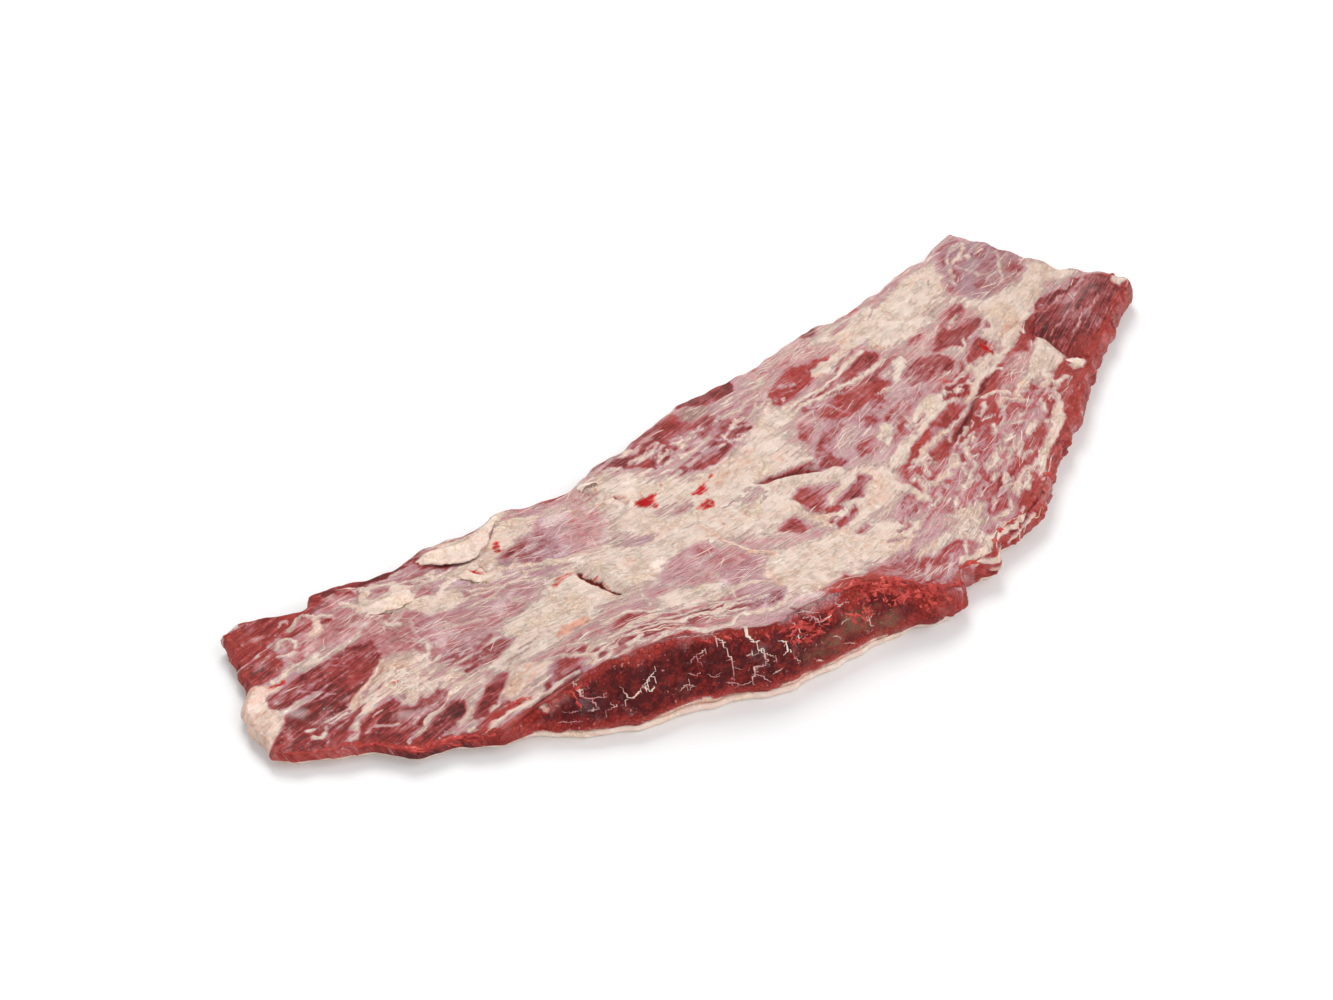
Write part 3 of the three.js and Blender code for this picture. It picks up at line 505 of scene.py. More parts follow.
RIGHT_PAINT = [
    area(0.42, -0.4, 4, (186, 58), (198, 80), (206, 92), (220, 93), (228, 82), (234, 70), (236, 58),
         (229, 48),
         (216, 41), (200, 41), (187, 45)),
    area(0.3, -0.35, 2.6, (206, 60), (211, 68), (219, 72), (225, 66), (216, 57)),
    area(0.3, -0.15, 2.4, (196, 56), (202, 57), (203, 50), (196, 48)),
    area(0.3, -0.1, 2, (221, 53), (228, 58), (233, 52), (226, 45)),
    area(0.28, -0.1, 3, (178, 58), (188, 67), (200, 73), (204, 68), (190, 58)),
    area(0.3, -0.2, 2, (198, 82), (206, 84), (214, 76), (220, 80), (228, 76), (224, 72), (208, 72)),
    stroke(0.3, -0.1, 3, (208, 90), (216, 90), (221, 89)),
    stroke(0.9, 0.25, 2.6, (202, 76), (207, 77), (213, 79), (219, 84)),
    stroke(0.9, 0.2, 3.2, (213.5, 74.5), (217, 77)),
    stroke(0.85, 0.25, 1.8, (220, 74.5), (224, 75)),
    stroke(0.74, 0.1, 2.2, (190, 62), (196, 68), (204, 80), (212, 86), (222, 87)),
    stroke(0.7, 0.0, 2.2, (212, 48), (221, 60), (228, 68)),
    stroke(0.64, 0.0, 2.2, (204, 58), (207, 66), (204, 74)),
    stroke(0.9, 0.4, 2, (172, 77), (178, 80), (184, 76)),
    stroke(0.5, -0.3, 1.4, (180, 72), (185, 75)),
    area(0.42, 0.05, 2, (222, 28), (229, 32.5), (235, 30), (228, 25)),
    area(0.13, -0.1, 1.4, (205, 17), (211, 24), (222, 24), (229, 19), (240, 24), (249, 20), (256, 14),
         (258, 12), (254, 4), (256, 0), (264, 2), (280, 2), (262, -12), (230, -30), (196, -40), (186, -22),
         (192, -18), (190, -8), (190, 4), (197, 10)),
    area(0.32, -0.1, 3, (206, 14), (222, 18), (236, 15), (250, 19), (240, 12), (222, 10)),
    stroke(0.5, 0, 1.4, (209, 15), (222, 16), (232, 14)),
    stroke(0.4, 0, 1, (222, 12), (234, 18), (244, 19)),
    stroke(0.4, 0, 1, (216, 2), (226, 10), (236, 15)),
    stroke(0.45, 0, 0.9, (194, -3), (204, -1), (214, 4)),
    stroke(0.42, 0, 0.9, (206, -9), (216, -4), (228, 0)),
    stroke(0.5, 0.1, 1.2, (232, 0), (240, 5)),
    area(BARE, 0.4, 4, (192, -16), (206, -12), (220, -14), (236, -12), (254, -4), (262, 2), (254, -14),
         (220, -30), (194, -36)),
    area(0.12, -0.3, 5, (218, -6), (232, 0), (248, 2), (242, -8), (226, -14)),
    area(0.84, 0.1, 1.2, (254, 10), (259, 11), (263, 6), (265, 1), (258, 0), (254, 4)),
    stroke(0.3, 0.9, 3, (255, 14), (259, 12)),
    area(BARE, 0.35, 2, (166, 1), (176, 8), (186, 15), (196, 16), (206, 18), (196, 9), (186, 2), (176, -4)),
    stroke(0.72, 0.8, 3, (178, 14), (186, 17), (194, 18)),
    stroke(0.7, 0.1, 1.6, (170, 3), (178, 6), (184, 11)),
    area(0.93, 0.1, 1, (150, -22), (160, -19), (166, -15), (172, -10), (178, -7), (184, -2), (190, 2.5),
         (190.5, -8),
         (189, -16), (184, -21), (176, -21), (168, -24), (160, -27)),
    area(0.92, 0.1, 0.9, (183, -29.5), (187, -25), (193, -22), (195, -28), (190, -31)),
    area(BARE, 0.5, 2, (150, -34), (166, -28), (178, -22), (186, -20), (184, -30), (196, -34), (190, -44),
         (160, -58), (150, -56)),
    area(0.84, 0.2, 1.2, (160, -26), (168, -22), (173, -25), (168, -29), (161, -31)),
    stroke(0.72, 0.1, 1.6, (185, -34), (190, -30)),
    stroke(0.7, 0.1, 1.4, (170, -36), (177, -33)),
    stroke(0.66, 0.3, 2.2, (196, -31), (206, -28)),
    stroke(0.6, 0.1, 1.2, (192, -38), (202, -33)),
]

NEAR_RIGHT_PAINT = [
    area(0.3, 0.45, 5, (79, -11), (112, -6), (138, 0), (152, -14), (156, -38), (128, -62), (109, -77),
         (75, -86),
         (60, -76), (48, -60), (47, -43), (58, -24)),
    area(0.26, 0.2, 3, (-2, -76), (12, -73), (25, -76), (40, -84), (52, -94), (40, -108), (17, -112),
         (0, -100)),
    area(0.12, 0.35, 0.8, (0, 10.5), (7, 10), (14, 6.5), (22, 1.6), (31, -2.2), (29, -5), (18, -0.5),
         (8, 4), (0, 6.5)),
    area(0.28, 0.15, 2, (33, 3), (40, 8), (48, 12), (58, 18), (60, 14), (50, 8), (44, 4), (38, 0)),
    area(0.16, 0.2, 1.2, (31, 1), (36, 8), (44, 12), (52, 16.5), (52, 13), (44, 9), (38, 5)),
    area(0.2, 0.15, 1.2, (37, 14), (38, 22), (46, 30), (50, 26), (46, 19)),
    stroke(0.3, 0.1, 3, (38, 14), (48, 22), (56, 26)),
    area(0.18, 0.15, 1.2, (30, -1), (36, 1), (42, 4), (42, -2), (44, -8), (38, -10), (36, -6)),
    area(0.2, 0.2, 1.2, (50, -11), (53, -3), (60, 1), (68, -2), (64, -8), (58, -11)),
    area(0.26, 0.05, 2.4, (60, 8), (70, 14), (80, 14), (80, 6), (72, 4)),
    stroke(0.6, 0.1, 1.4, (62, 10), (70, 10), (78, 12)),
    stroke(0.2, 0.4, 2.4, (70, 9), (76, 11)),
    area(0.84, -0.1, 1.4, (68, -4), (74, 2), (78, 4), (80, -2), (76, -8), (71, -12), (67, -12)),
    area(0.2, 0.15, 1.2, (70, -13), (79, -7), (84, -1), (80, 3), (84, 8), (94, 10), (110, 10.5), (109, 6),
         (98, 2), (88, -4), (80, -9)),
    stroke(0.66, 0.1, 1.2, (84, 2), (94, 6), (104, 7)),
    stroke(0.26, 0.1, 2, (82, 12), (94, 12), (104, 13)),
    area(0.95, 0.0, 1, (56, -24), (64, -18), (74, -14), (84, -9), (92, -4), (100, 1), (110, 4),
         (118, 4), (117, -1),
         (114, -7), (106, -10), (96, -13), (86, -17), (72, -22), (62, -28)),
    stroke(0.34, 0.1, 3, (77, -14), (86, -11), (97, -7)),
    area(0.1, 0.3, 1, (112, -7), (118, 1), (126, 4), (136, 7), (143, 11), (141, 4), (134, -2), (128, -7),
         (120, -7.5)),
    area(0.92, 0.1, 0.9, (117, 8), (124, 8), (132, 10), (140, 12), (138, 9), (128, 5), (120, 3)),
    area(0.08, 0.3, 1, (143, 6), (148, 12), (156, 16), (162, 19), (166, 15), (160, 9), (152, 7)),
    area(0.94, 0.08, 1, (122, -11), (130, -7), (140, -1), (144, 4), (152, 6), (160, 8), (170, 9), (178, 14),
         (190, 18), (200, 20), (204, 18), (194, 15), (184, 11), (174, 5), (164, 1), (152, -3), (140, -6),
         (130, -11)),
    area(0.1, 0.85, 1.4, (64, -26), (72, -22), (80, -19), (86, -16.5), (90, -18.5), (84, -23), (74, -26.5)),
    stroke(0.16, 0.8, 3, (59, -28), (64, -28)),
    stroke(0.92, 0.05, 2.6, (66, -29), (80, -25.5), (92, -22), (102, -18)),
    area(0.12, 0.45, 1, (98, -19), (101, -14), (108, -10.5), (118, -10), (122, -12), (112, -16.5),
         (104, -18.5)),
    stroke(0.9, 0.0, 2.2, (98, -21), (108, -18), (118, -15), (128, -12), (136, -12)),
    area(0.08, 0.5, 1.6, (64, -34), (78, -29), (90, -26), (100, -27), (112, -21), (126, -14), (140, -6),
         (152, -3),
         (158, 0), (160, -4), (146, -10), (140, -18), (130, -26), (120, -31), (108, -30), (98, -35),
         (84, -35)),
    area(0.05, -0.2, 1.6, (98, -26), (108, -22), (122, -15), (138, -8), (150, -3), (148, -6), (134, -12),
         (118, -20), (104, -27)),
    area(0.3, 0.3, 2.4, (60, -38), (72, -34), (86, -36), (98, -37), (112, -32), (126, -33), (136, -31),
         (134, -37), (120, -39), (112, -42), (104, -48), (92, -46), (80, -40)),
    area(0.34, 0.3, 4, (92, -44), (106, -50), (100, -60), (84, -58), (72, -50), (76, -42)),
    stroke(0.74, 0, 2, (98, -56), (104, -50), (112, -45), (124, -41)),
    stroke(0.74, 0, 2.4, (104, -58), (112, -52), (120, -46)),
    area(0.14, 0.3, 1.2, (118, -56), (122, -52), (130, -49.5), (140, -48), (138, -54), (128, -57)),
    area(0.15, 0.25, 1.4, (69, -74), (78, -71), (84, -66), (92, -62), (99, -60), (101, -65), (90, -69),
         (86, -77),
         (74, -80)),
    area(0.12, 0.3, 1, (79, -90), (82, -83), (88, -80), (94, -75), (101, -73), (104, -80), (98, -84),
         (88, -87)),
    area(0.14, 0.3, 1, (111, -65), (120, -60), (125, -60), (119, -66)),
    area(0.14, 0.35, 1.2, (142, -47), (150, -40), (156, -34), (166, -29), (174, -30), (170, -38), (158, -43),
         (148, -48)),
    area(0.1, 0.6, 1.6, (119, -67), (128, -61), (140, -57), (152, -50), (160, -42), (172, -38), (196, -30),
         (196, -46), (160, -66), (128, -80), (104, -92), (92, -92), (104, -82), (112, -76)),
    area(0.92, 0.15, 1, (158, -46), (156, -42), (150, -46), (144, -51), (138, -54), (130, -58), (122, -65),
         (114, -70), (108, -78), (110, -81), (118, -74), (128, -66), (136, -61), (148, -56)),
    area(0.8, 0.05, 2, (54, -70), (60, -64), (72, -66), (76, -70), (68, -74), (66, -79), (60, -78)),
    stroke(0.88, 0.1, 2.6, (89, -68), (97, -70), (104, -68), (112, -67), (121, -66)),
    stroke(0.9, 0.2, 1.8, (80, -88.5), (90, -89.5), (98, -88), (105, -84)),
    stroke(0.86, 0.15, 2, (70, -80), (78, -81), (86, -77)),
    stroke(0.9, 0.1, 1.6, (72, -84), (76, -88), (82, -90)),
    stroke(0.84, 0.1, 2.4, (94, -72), (102, -73), (108, -70)),
    area(0.05, 0.95, 1.4, (96, -90), (103, -83), (108, -78), (114, -80), (118, -86), (104, -93)),
    stroke(0.9, 0.1, 3, (132, -16), (138, -18), (142, -22)),
    stroke(0.86, 0.1, 3, (143, -26), (150, -22), (158, -20)),
    area(0.16, 0.3, 1.2, (150, -25), (156, -22.5), (166, -22), (166, -25), (158, -27)),
    stroke(0.8, 0.4, 3, (132, -26), (138, -24), (146, -30)),
    area(0.44, 0.3, 2, (114, -38), (124, -36), (138, -38), (150, -42), (142, -48), (128, -47), (116, -48)),
    stroke(0.2, 0.1, 2, (122, -44), (130, -42)),
    area(0.22, 0.1, 2.4, (3, -12), (8, -8), (15, -9), (22, -12), (27, -16), (18, -21), (12, -25), (6, -28),
         (1, -22), (4, -17)),
    area(0.12, 0.4, 1.6, (3, -13), (9, -9), (13, -14), (10, -19), (3, -20)),
    area(0.26, 0.05, 1.6, (15, -27), (24, -22), (34, -21), (42, -17.5), (44, -24), (36, -29), (30, -32),
         (22, -29)),
    area(0.08, 0.75, 1, (7, -29), (11, -26), (17, -27), (19, -31), (12, -32)),
    area(0.12, 0.45, 1, (2, -43), (6, -38), (14, -37), (23, -33), (21, -37), (10, -42)),
    stroke(0.2, 0.2, 3, (5, -36), (9, -35)),
    stroke(0.3, 0.1, 2.6, (10, -50), (14, -49), (19, -47)),
    stroke(0.26, 0.1, 2, (40, -48.5), (48, -46), (54, -43)),
    stroke(0.28, 0.1, 2.4, (32, -56), (38, -54), (46, -51)),
    stroke(0.2, 0.3, 4, (54, -56), (60, -54), (66, -53)),
    stroke(0.26, 0.1, 2.4, (52, -50), (58, -47), (64, -44)),
    stroke(0.26, 0.0, 1.6, (31, -65), (36, -64), (42, -61), (50, -59)),
    stroke(0.3, 0.0, 3, (17, -62), (24, -64)),
    stroke(0.34, 0.05, 2.4, (20, -74), (28, -70), (38, -70)),
    stroke(0.3, 0.0, 2, (26, -60), (34, -59)),
    stroke(0.28, 0.1, 2.4, (70, -46), (80, -44), (90, -42)),
    stroke(0.28, 0.1, 2.2, (66, -57), (76, -54), (84, -53)),
    stroke(0.26, 0.1, 2.4, (60, -64), (68, -68), (76, -64)),
    stroke(0.26, 0.1, 2.2, (60, -80), (64, -84), (62, -90)),
    area(0.24, 0.5, 1.4, (10, -92), (18, -82), (25, -79), (34, -80), (42, -80), (51, -83), (52, -88),
         (48, -95),
         (40, -98), (30, -101), (26, -110), (4, -112)),
    stroke(0.55, 0.05, 1.2, (14, -92), (18, -86), (24, -82)),
    stroke(0.6, 0.05, 1.2, (24, -97), (30, -90), (36, -85)),
    stroke(0.6, 0.05, 1.2, (8, -101), (14, -97), (20, -98)),
    stroke(0.6, 0.1, 1.0, (30, -99), (34, -92), (40, -88)),
    stroke(0.84, 0.05, 1.2, (40, -94), (43, -88), (47, -82)),
    area(0.76, 0.02, 1, (20, -76), (28, -80.5), (36, -80), (44, -80), (52, -84), (57, -92), (62, -92),
         (62, -76),
         (50, -72), (36, -74)),
    area(0.1, 1.0, 1.6, (37, -104), (42, -99), (50, -98), (58, -98), (64, -104), (52, -114), (38, -112)),
    area(0.9, 0.1, 0.8, (34, -90), (38, -93), (41, -92), (44, -95), (48, -93.5), (52, -97), (56, -95),
         (54, -91),
         (46, -90), (38, -88)),
    area(0.2, 0.2, 1.6, (62, -84), (68, -82), (74, -88), (80, -94), (66, -100), (60, -94)),
    area(0.36, 0.05, 3, (-104, -38), (-86, -46), (-70, -53), (-60, -58), (-64, -50), (-84, -40), (-100, -34)),
    area(0.32, 0.1, 3, (108, 4), (124, 9), (138, 10), (130, 4), (116, 0)),
    area(0.3, 0.4, 3, (140, -18), (156, -8), (172, 2), (166, -6), (152, -16)),
    stroke(0.92, 0.15, 3.6, (48, -91), (56, -94), (66, -93), (78, -95)),
    stroke(0.88, 0.1, 5.0, (46, -30), (49, -40), (54, -50)),
    stroke(0.8, 0.1, 3.4, (60, -42), (66, -46), (74, -46)),
    area(0.1, 0.9, 3, (-30, -76), (-16, -78), (-4, -84), (-8, -88), (-26, -82)),
    area(0.12, 0.85, 4, (86, -90), (100, -86), (116, -78), (112, -74), (98, -80), (86, -84)),
    area(0.24, -0.2, 2.5, (-140, -36), (-128, -38.5), (-110, -46), (-92, -52), (-74, -59), (-56, -66),
         (-48, -62), (-60, -56), (-76, -48), (-94, -41), (-114, -35), (-136, -28)),
    stroke(0.95, 0.15, 1.3, (-138, -32), (-124, -34), (-108, -40), (-90, -46), (-72, -53), (-58, -59)),
    stroke(0.92, 0.1, 1.2, (-130, -28), (-112, -35), (-96, -44), (-80, -52), (-70, -60)),
    stroke(0.92, 0.1, 1.1, (-104, -36), (-92, -42), (-78, -46), (-62, -52)),
    area(0.3, 0.9, 3, (-40, -72), (-26, -74), (-12, -78), (2, -82), (-2, -88), (-24, -83), (-40, -79)),
    stroke(0.92, 0.15, 3.0, (54, -91), (62, -88.5), (74, -86), (86, -85)),
    area(0.12, 0.1, 1.2, (1, 12), (10, 9.5), (19, 6), (29, 2.5), (30, 0.5), (19, 2), (9, 6)),
]

# Where small shreds of fat are strewn: how many, and the outline of the area.
ShredArea = namedtuple("ShredArea", "count points")
SHRED_AREAS = [
    ShredArea(125, [(58, -30), (110, -24), (150, -22), (180, -26), (165, -42), (120, -68), (80, -82),
                    (50, -78),
                    (46, -48)]),
    ShredArea(36, [(50, -26), (110, -8), (190, 10), (196, 18), (120, 4), (60, -18)]),
    ShredArea(45, [(-228, 16), (-190, 8), (-184, 32), (-214, 34)]),
    ShredArea(60, [(-190, -20), (-90, -60), (-60, -44), (-150, -12)]),
    ShredArea(24, [(110, 50), (190, 24), (200, 50), (188, 70), (120, 80)]),
    ShredArea(40, [(-200, 58), (-120, 46), (-126, 72), (-190, 84)]),
    ShredArea(50, [(-60, 66), (-40, 40), (40, 44), (60, 52), (20, 60), (-40, 76)]),
]

# Cracks, and painted shade in hollows, under the lifted flaps and beside raised fat: how dark, width, path.
Mark = namedtuple("Mark", "strength width points")
CRACK_AND_SHADE_MARKS = [
    Mark(0.95, 2.2, [(-102.3, 21), (-103.3, 17.5), (-101.6, 14.4), (-102.6, 11), (-100.8, 7),
                     (-101.6, 3), (-99.8, -1),
                      (-99.4, -5)]),
    Mark(0.45, 1.6, [(-152, 82), (-147, 79), (-142, 72.5), (-137, 68.5), (-133, 67)]),
    Mark(0.35, 1.2, [(-133, 67), (-126, 66), (-120, 65)]),
    Mark(0.3, 1.2, [(-121, 69), (-115, 71.5), (-108, 74)]),
    Mark(0.4, 1.2, [(-125, 58), (-120, 58), (-116, 61)]),
    Mark(0.6, 1.3, [(-144, 60), (-142.5, 55), (-142.5, 51), (-137, 48)]),
    Mark(0.5, 1.2, [(-132, 58), (-132, 52)]),
    Mark(0.55, 1.4, [(-187, 69), (-184, 64), (-180, 63)]),
    Mark(0.6, 1.5, [(-178, 65), (-174, 62.5), (-168, 63)]),
    Mark(0.35, 1.2, [(-170, 52), (-164, 50.5)]),
    Mark(0.6, 1.5, [(-65, 66), (-64.5, 62), (-61, 59)]),
    Mark(0.6, 1.3, [(-60, 64.5), (-57, 65), (-55, 64)]),
    Mark(0.65, 1.3, [(-58, 49), (-57.5, 45), (-56, 42.5)]),
    Mark(0.3, 0.9, [(-71, 58), (-72, 54)]),
    Mark(0.55, 2.0, [(-2, 10.8), (6, 10.2), (12, 7.8), (18, 4.2), (24, 0.6), (30, -2)]),
    Mark(0.45, 1.4, [(21, -1), (26, -2.4)]),
    Mark(0.5, 1.1, [(-171, -12), (-168, -15.5)]),
    Mark(0.5, 3.0, [(-173, -31.5), (-168, -29.5), (-163, -31)]),
    Mark(0.6, 1.8, [(96, -29), (108, -23.5), (120, -18), (136, -10), (152, -3.5)]),
    Mark(0.5, 1.2, [(141, -16), (148, -12), (154, -10)]),
    Mark(0.75, 1.5, [(185, 1), (192, 7), (198, 11.5), (206, 17)]),
    Mark(0.6, 1.7, [(191.3, -4), (191, -12), (192, -18)]),
    Mark(0.7, 1.8, [(192, -20), (196, -23), (197.5, -26.5)]),
    Mark(0.8, 1.7, [(88, -87.5), (96, -84.5), (103.5, -81)]),
    Mark(0.45, 1.2, [(57, -85), (55.5, -90), (52, -95)]),
    Mark(0.3, 1.0, [(31, -65.5), (37, -64.5), (42, -61.5)]),
    Mark(0.45, 1.6, [(-27, 56), (-22, 60), (-18, 65), (-14, 68)]),
    Mark(0.35, 1.6, [(160, -5), (170, -4), (180, 0)]),
    Mark(0.45, 1.5, [(15.3, -31), (15.5, -34)]),
    Mark(0.3, 1.2, [(8, -65), (11, -66)]),
    Mark(0.3, 1.4, [(107, 58), (108, 56)]),
    Mark(0.35, 2.2, [(-38, -36), (-35, -39)]),
    Mark(0.3, 1.5, [(-28, -5), (-27, -6)]),
    Mark(0.55, 2.4, [(-209, 86.5), (-204, 87), (-200, 89)]),
    Mark(0.35, 2.0, [(84, -31.5), (92, -29), (98, -27)]),
    Mark(0.4, 1.3, [(205, -10), (214, -7), (222, -4)]),
    Mark(0.35, 1.2, [(142, 8), (150, 9), (158, 12)]),
    Mark(0.6, 2.2, [(-56, -73), (-52, -80)]),
]

# Where the surface is wet enough to glint.
WET_MARKS = [
    Mark(1.0, 7, [(14, -84), (20, -90), (28, -96)]),
    Mark(1.0, 7, [(28, -90), (36, -96), (40, -102)]),
    Mark(0.8, 5, [(40, -100), (48, -104)]),
    Mark(1.0, 9, [(212, 4), (226, 10), (240, 10)]),
    Mark(0.7, 7, [(100, -84), (112, -78)]),
    Mark(0.7, 5, [(-252, 44), (-247, 38)]),
    Mark(0.6, 5, [(-214, 8), (-204, 4)]),
    Mark(0.6, 6, [(88, 30), (78, 26)]),
]

BLOOD_MARKS = [
    Mark(0.3, 2.4, [(-150, 84.5), (-140, 80.5), (-130, 78)]),
    Mark(0.42, 1.6, [(-100.6, 20.5), (-101.4, 17.5), (-99.8, 14.4), (-100.6, 11), (-99.0, 7), (-99.6, 3)]),
    Mark(1.0, 8.0, [(-48, 37), (-47, 36)]),
    Mark(0.8, 5.0, [(-50, 39), (-46, 33)]),
    Mark(0.8, 4.0, [(-44, 38), (-43, 37)]),
    Mark(0.6, 1.4, [(-46, 41), (-44, 45)]),
    Mark(0.95, 5.4, [(-26, 24.5), (-22, 25)]),
    Mark(0.7, 1.8, [(-20, 26), (-15, 26), (-11, 31)]),
    Mark(0.6, 1.5, [(-15, 26), (-13, 24)]),
    Mark(0.95, 6.4, [(-31, 14), (-28, 13)]),
    Mark(0.45, 3.0, [(-35, 13), (-33, 16)]),
    Mark(0.5, 3.4, [(-24, 21), (-23, 23)]),
    Mark(0.8, 3.4, [(-119, 62), (-117.5, 65)]),
    Mark(0.8, 4.0, [(-139, 58), (-136, 54)]),
    Mark(0.55, 3.2, [(-117, 21), (-112, 23), (-106, 22.5), (-102, 19)]),
    Mark(0.45, 2.0, [(-94, 44), (-91.5, 47)]),
    Mark(0.7, 3.0, [(-249, 61), (-243, 60)]),
    Mark(0.9, 2.2, [(-247, 60), (-243.5, 61)]),
    Mark(1.0, 4.6, [(161, 13), (162.5, 10)]),
    Mark(0.55, 4.0, [(164, 11), (168, 12)]),
    Mark(0.7, 3.4, [(127, 6.5), (128, 3.5)]),
    Mark(0.7, 2.4, [(128, 84.5), (134, 84), (138, 83.5)]),
    Mark(0.75, 2.6, [(-179, -21.5), (-174, -23.5), (-169, -24.5)]),
    Mark(0.6, 1.6, [(-206.5, 26.5), (-205.8, 25.5)]),
    Mark(0.45, 2.2, [(-165, -18), (-162.5, -19)]),
    Mark(0.35, 1.6, [(-34, 42), (-34, 41)]),
    Mark(0.4, 1.6, [(-79.5, -1), (-79, -1)]),
]

# Ribbons of torn muscle along the near side, given like the veins, and where short ones are
# strewn: from and to as distance along the edge, from and to as shares of the side, and how many.
Strewn = namedtuple("Strewn", "start end high low count")
RIBBONS_STREWN = [Strewn(276, 318, 0.0, 0.45, 64), Strewn(238, 276, 0.24, 0.4, 24),
                  Strewn(326, 356, 0.4, 0.9, 8), Strewn(356, 470, 0.0, 0.85, 26),
                  Strewn(34, 112, 0.05, 0.5, 14), Strewn(470, 606, 0.0, 0.8, 12),
                  Strewn(120, 232, 0.02, 0.1, 10)]

# The paint on the near side: distance along the near edge from its left end, and height over the
# table.
FACE_PAINT = [
    area(0.08, 0.55, 6, (-5, -2), (-5, 40), (125, 40), (125, -2)),
    # A darker band low on the left of the side, painted shade under the ridge along the rim.
    area(0.02, -0.4, 3, (36, 2), (60, 7), (92, 8), (104, 4), (80, 2)),
    area(0.04, 0.0, 5, (100, -2), (100, 40), (330, 40), (330, -2)),
    area(0.04, 0.75, 3, (108, 12), (122, 17), (138, 24), (150, 27), (166, 28), (184, 30), (204, 32),
         (222, 33),
         (236, 34), (250, 35), (250, 45), (100, 45)),
    area(0.4, 0.1, 1.2, (128, 45), (128, 22.5), (146, 26), (165, 29), (182, 31.5), (212, 32.5), (226, 45)),
    area(0.04, -0.75, 4, (124, 10), (134, 19), (150, 24), (176, 27), (200, 28), (216, 27), (236, 28),
         (256, 24),
         (262, 13), (240, 12), (214, 12), (190, 12), (160, 11), (140, 9)),
    area(0.06, 0.15, 2.5, (120, 8), (150, 9), (190, 11), (230, 11), (260, 11), (290, 10), (290, 3), (120, 3)),
    area(0.16, 0.95, 2, (236, 38), (246, 36), (250, 31), (262, 30), (280, 31), (296, 28), (300, 24),
         (310, 18),
         (316, 14), (322, 14), (326, 20), (312, 28), (296, 36), (262, 40), (236, 42)),
    area(0.04, 0.75, 2, (268, 24), (282, 26), (296, 26), (304, 20), (312, 12), (320, 8), (326, 12), (322, 20),
         (306, 28), (280, 32), (262, 30)),
    area(0.12, 0.75, 4, (322, -2), (322, 30), (352, 30), (352, -2)),
    area(0.06, 0.75, 4, (352, -2), (352, 30), (480, 30), (480, -2)),
    area(0.06, 0.6, 6, (480, -2), (480, 30), (620, 30), (620, -2)),
    stroke(0.86, 0.35, 3, (112, 16), (120, 18), (124, 15)),
    stroke(0.9, 0.2, 2.6, (396, 15), (406, 17), (416, 19), (424, 18)),
    stroke(0.86, 0.3, 2.4, (386, 8), (396, 11), (406, 12)),
    stroke(0.9, 0.15, 3.4, (350, 15), (360, 14), (374, 12)),
    stroke(0.88, 0.3, 2.4, (362, 9), (372, 8), (380, 9)),
    stroke(0.6, 0.2, 2.0, (488, 14), (492, 10)),
    stroke(0.6, 0.2, 1.6, (444, 19), (450, 16)),
    area(0.05, 0.9, 2, (406, 8), (416, 16), (432, 18), (446, 14), (440, 6), (420, 4)),
    area(CREAM, 0.05, 0.9, (118, 6.2), (126, 5.5), (140, 5.2), (150, 5.0), (150, 3), (112, 3)),
    area(CREAM, 0.05, 0.9, (166, 5.4), (176, 6.4), (186, 7.8), (196, 8.0), (206, 7.0), (218, 5.6), (218, 3),
         (166, 3)),
    area(CREAM, 0.05, 0.9, (226, 5.2), (240, 6.4), (252, 6.6), (266, 6.2), (282, 7.0), (292, 5.4), (292, 3),
         (226, 3)),
    stroke(0.92, 0.15, 3.0, (372, 17), (382, 16), (392, 14)),
    area(0.42, 0.45, 2, (234, 45), (236, 33), (244, 31), (254, 29.5), (264, 29), (274, 30.5), (282, 35),
         (286, 45)),
    stroke(0.7, 0.3, 1.6, (244, 36), (254, 34), (266, 34), (276, 36)),
    area(0.26, 0.35, 3, (318, 40), (320, 24), (326, 16), (334, 10), (352, 8), (356, 20), (352, 40)),
    stroke(0.55, 0.1, 1.2, (326, 26), (330, 20), (334, 15)),
    stroke(0.5, 0.1, 1.0, (338, 24), (341, 18), (343, 12)),
]

FACE_BROWN = [Mark(0.8, 9, [(262, 18), (272, 19), (284, 18), (296, 14)]),
              Mark(0.6, 6, [(246, 14), (256, 13), (266, 12)]),
              Mark(0.7, 4, [(286, 8), (296, 7)])]
TOP_BROWN = [Mark(0.75, 8, [(12, 76), (22, 73)]),
             Mark(0.5, 6, [(101, 84), (110, 86)])]

# How often a vein has a twig.
VEIN_TWIG_SHARE = 0.34

# How wide a red rim shows beside the near edge, at shares of its length.
RIM_WIDTHS = [(0, 0.6), (0.04, 2.5), (0.13, 2.5), (0.2, 2.0), (0.24, 0.8), (0.3, 0.2), (0.36, 0.2),
              (0.45, 0.2), (0.47, 2.5),
              (0.5, 3), (0.56, 1.5), (0.62, 1.5), (0.75, 1.5), (0.9, 2.5), (1, 2)]

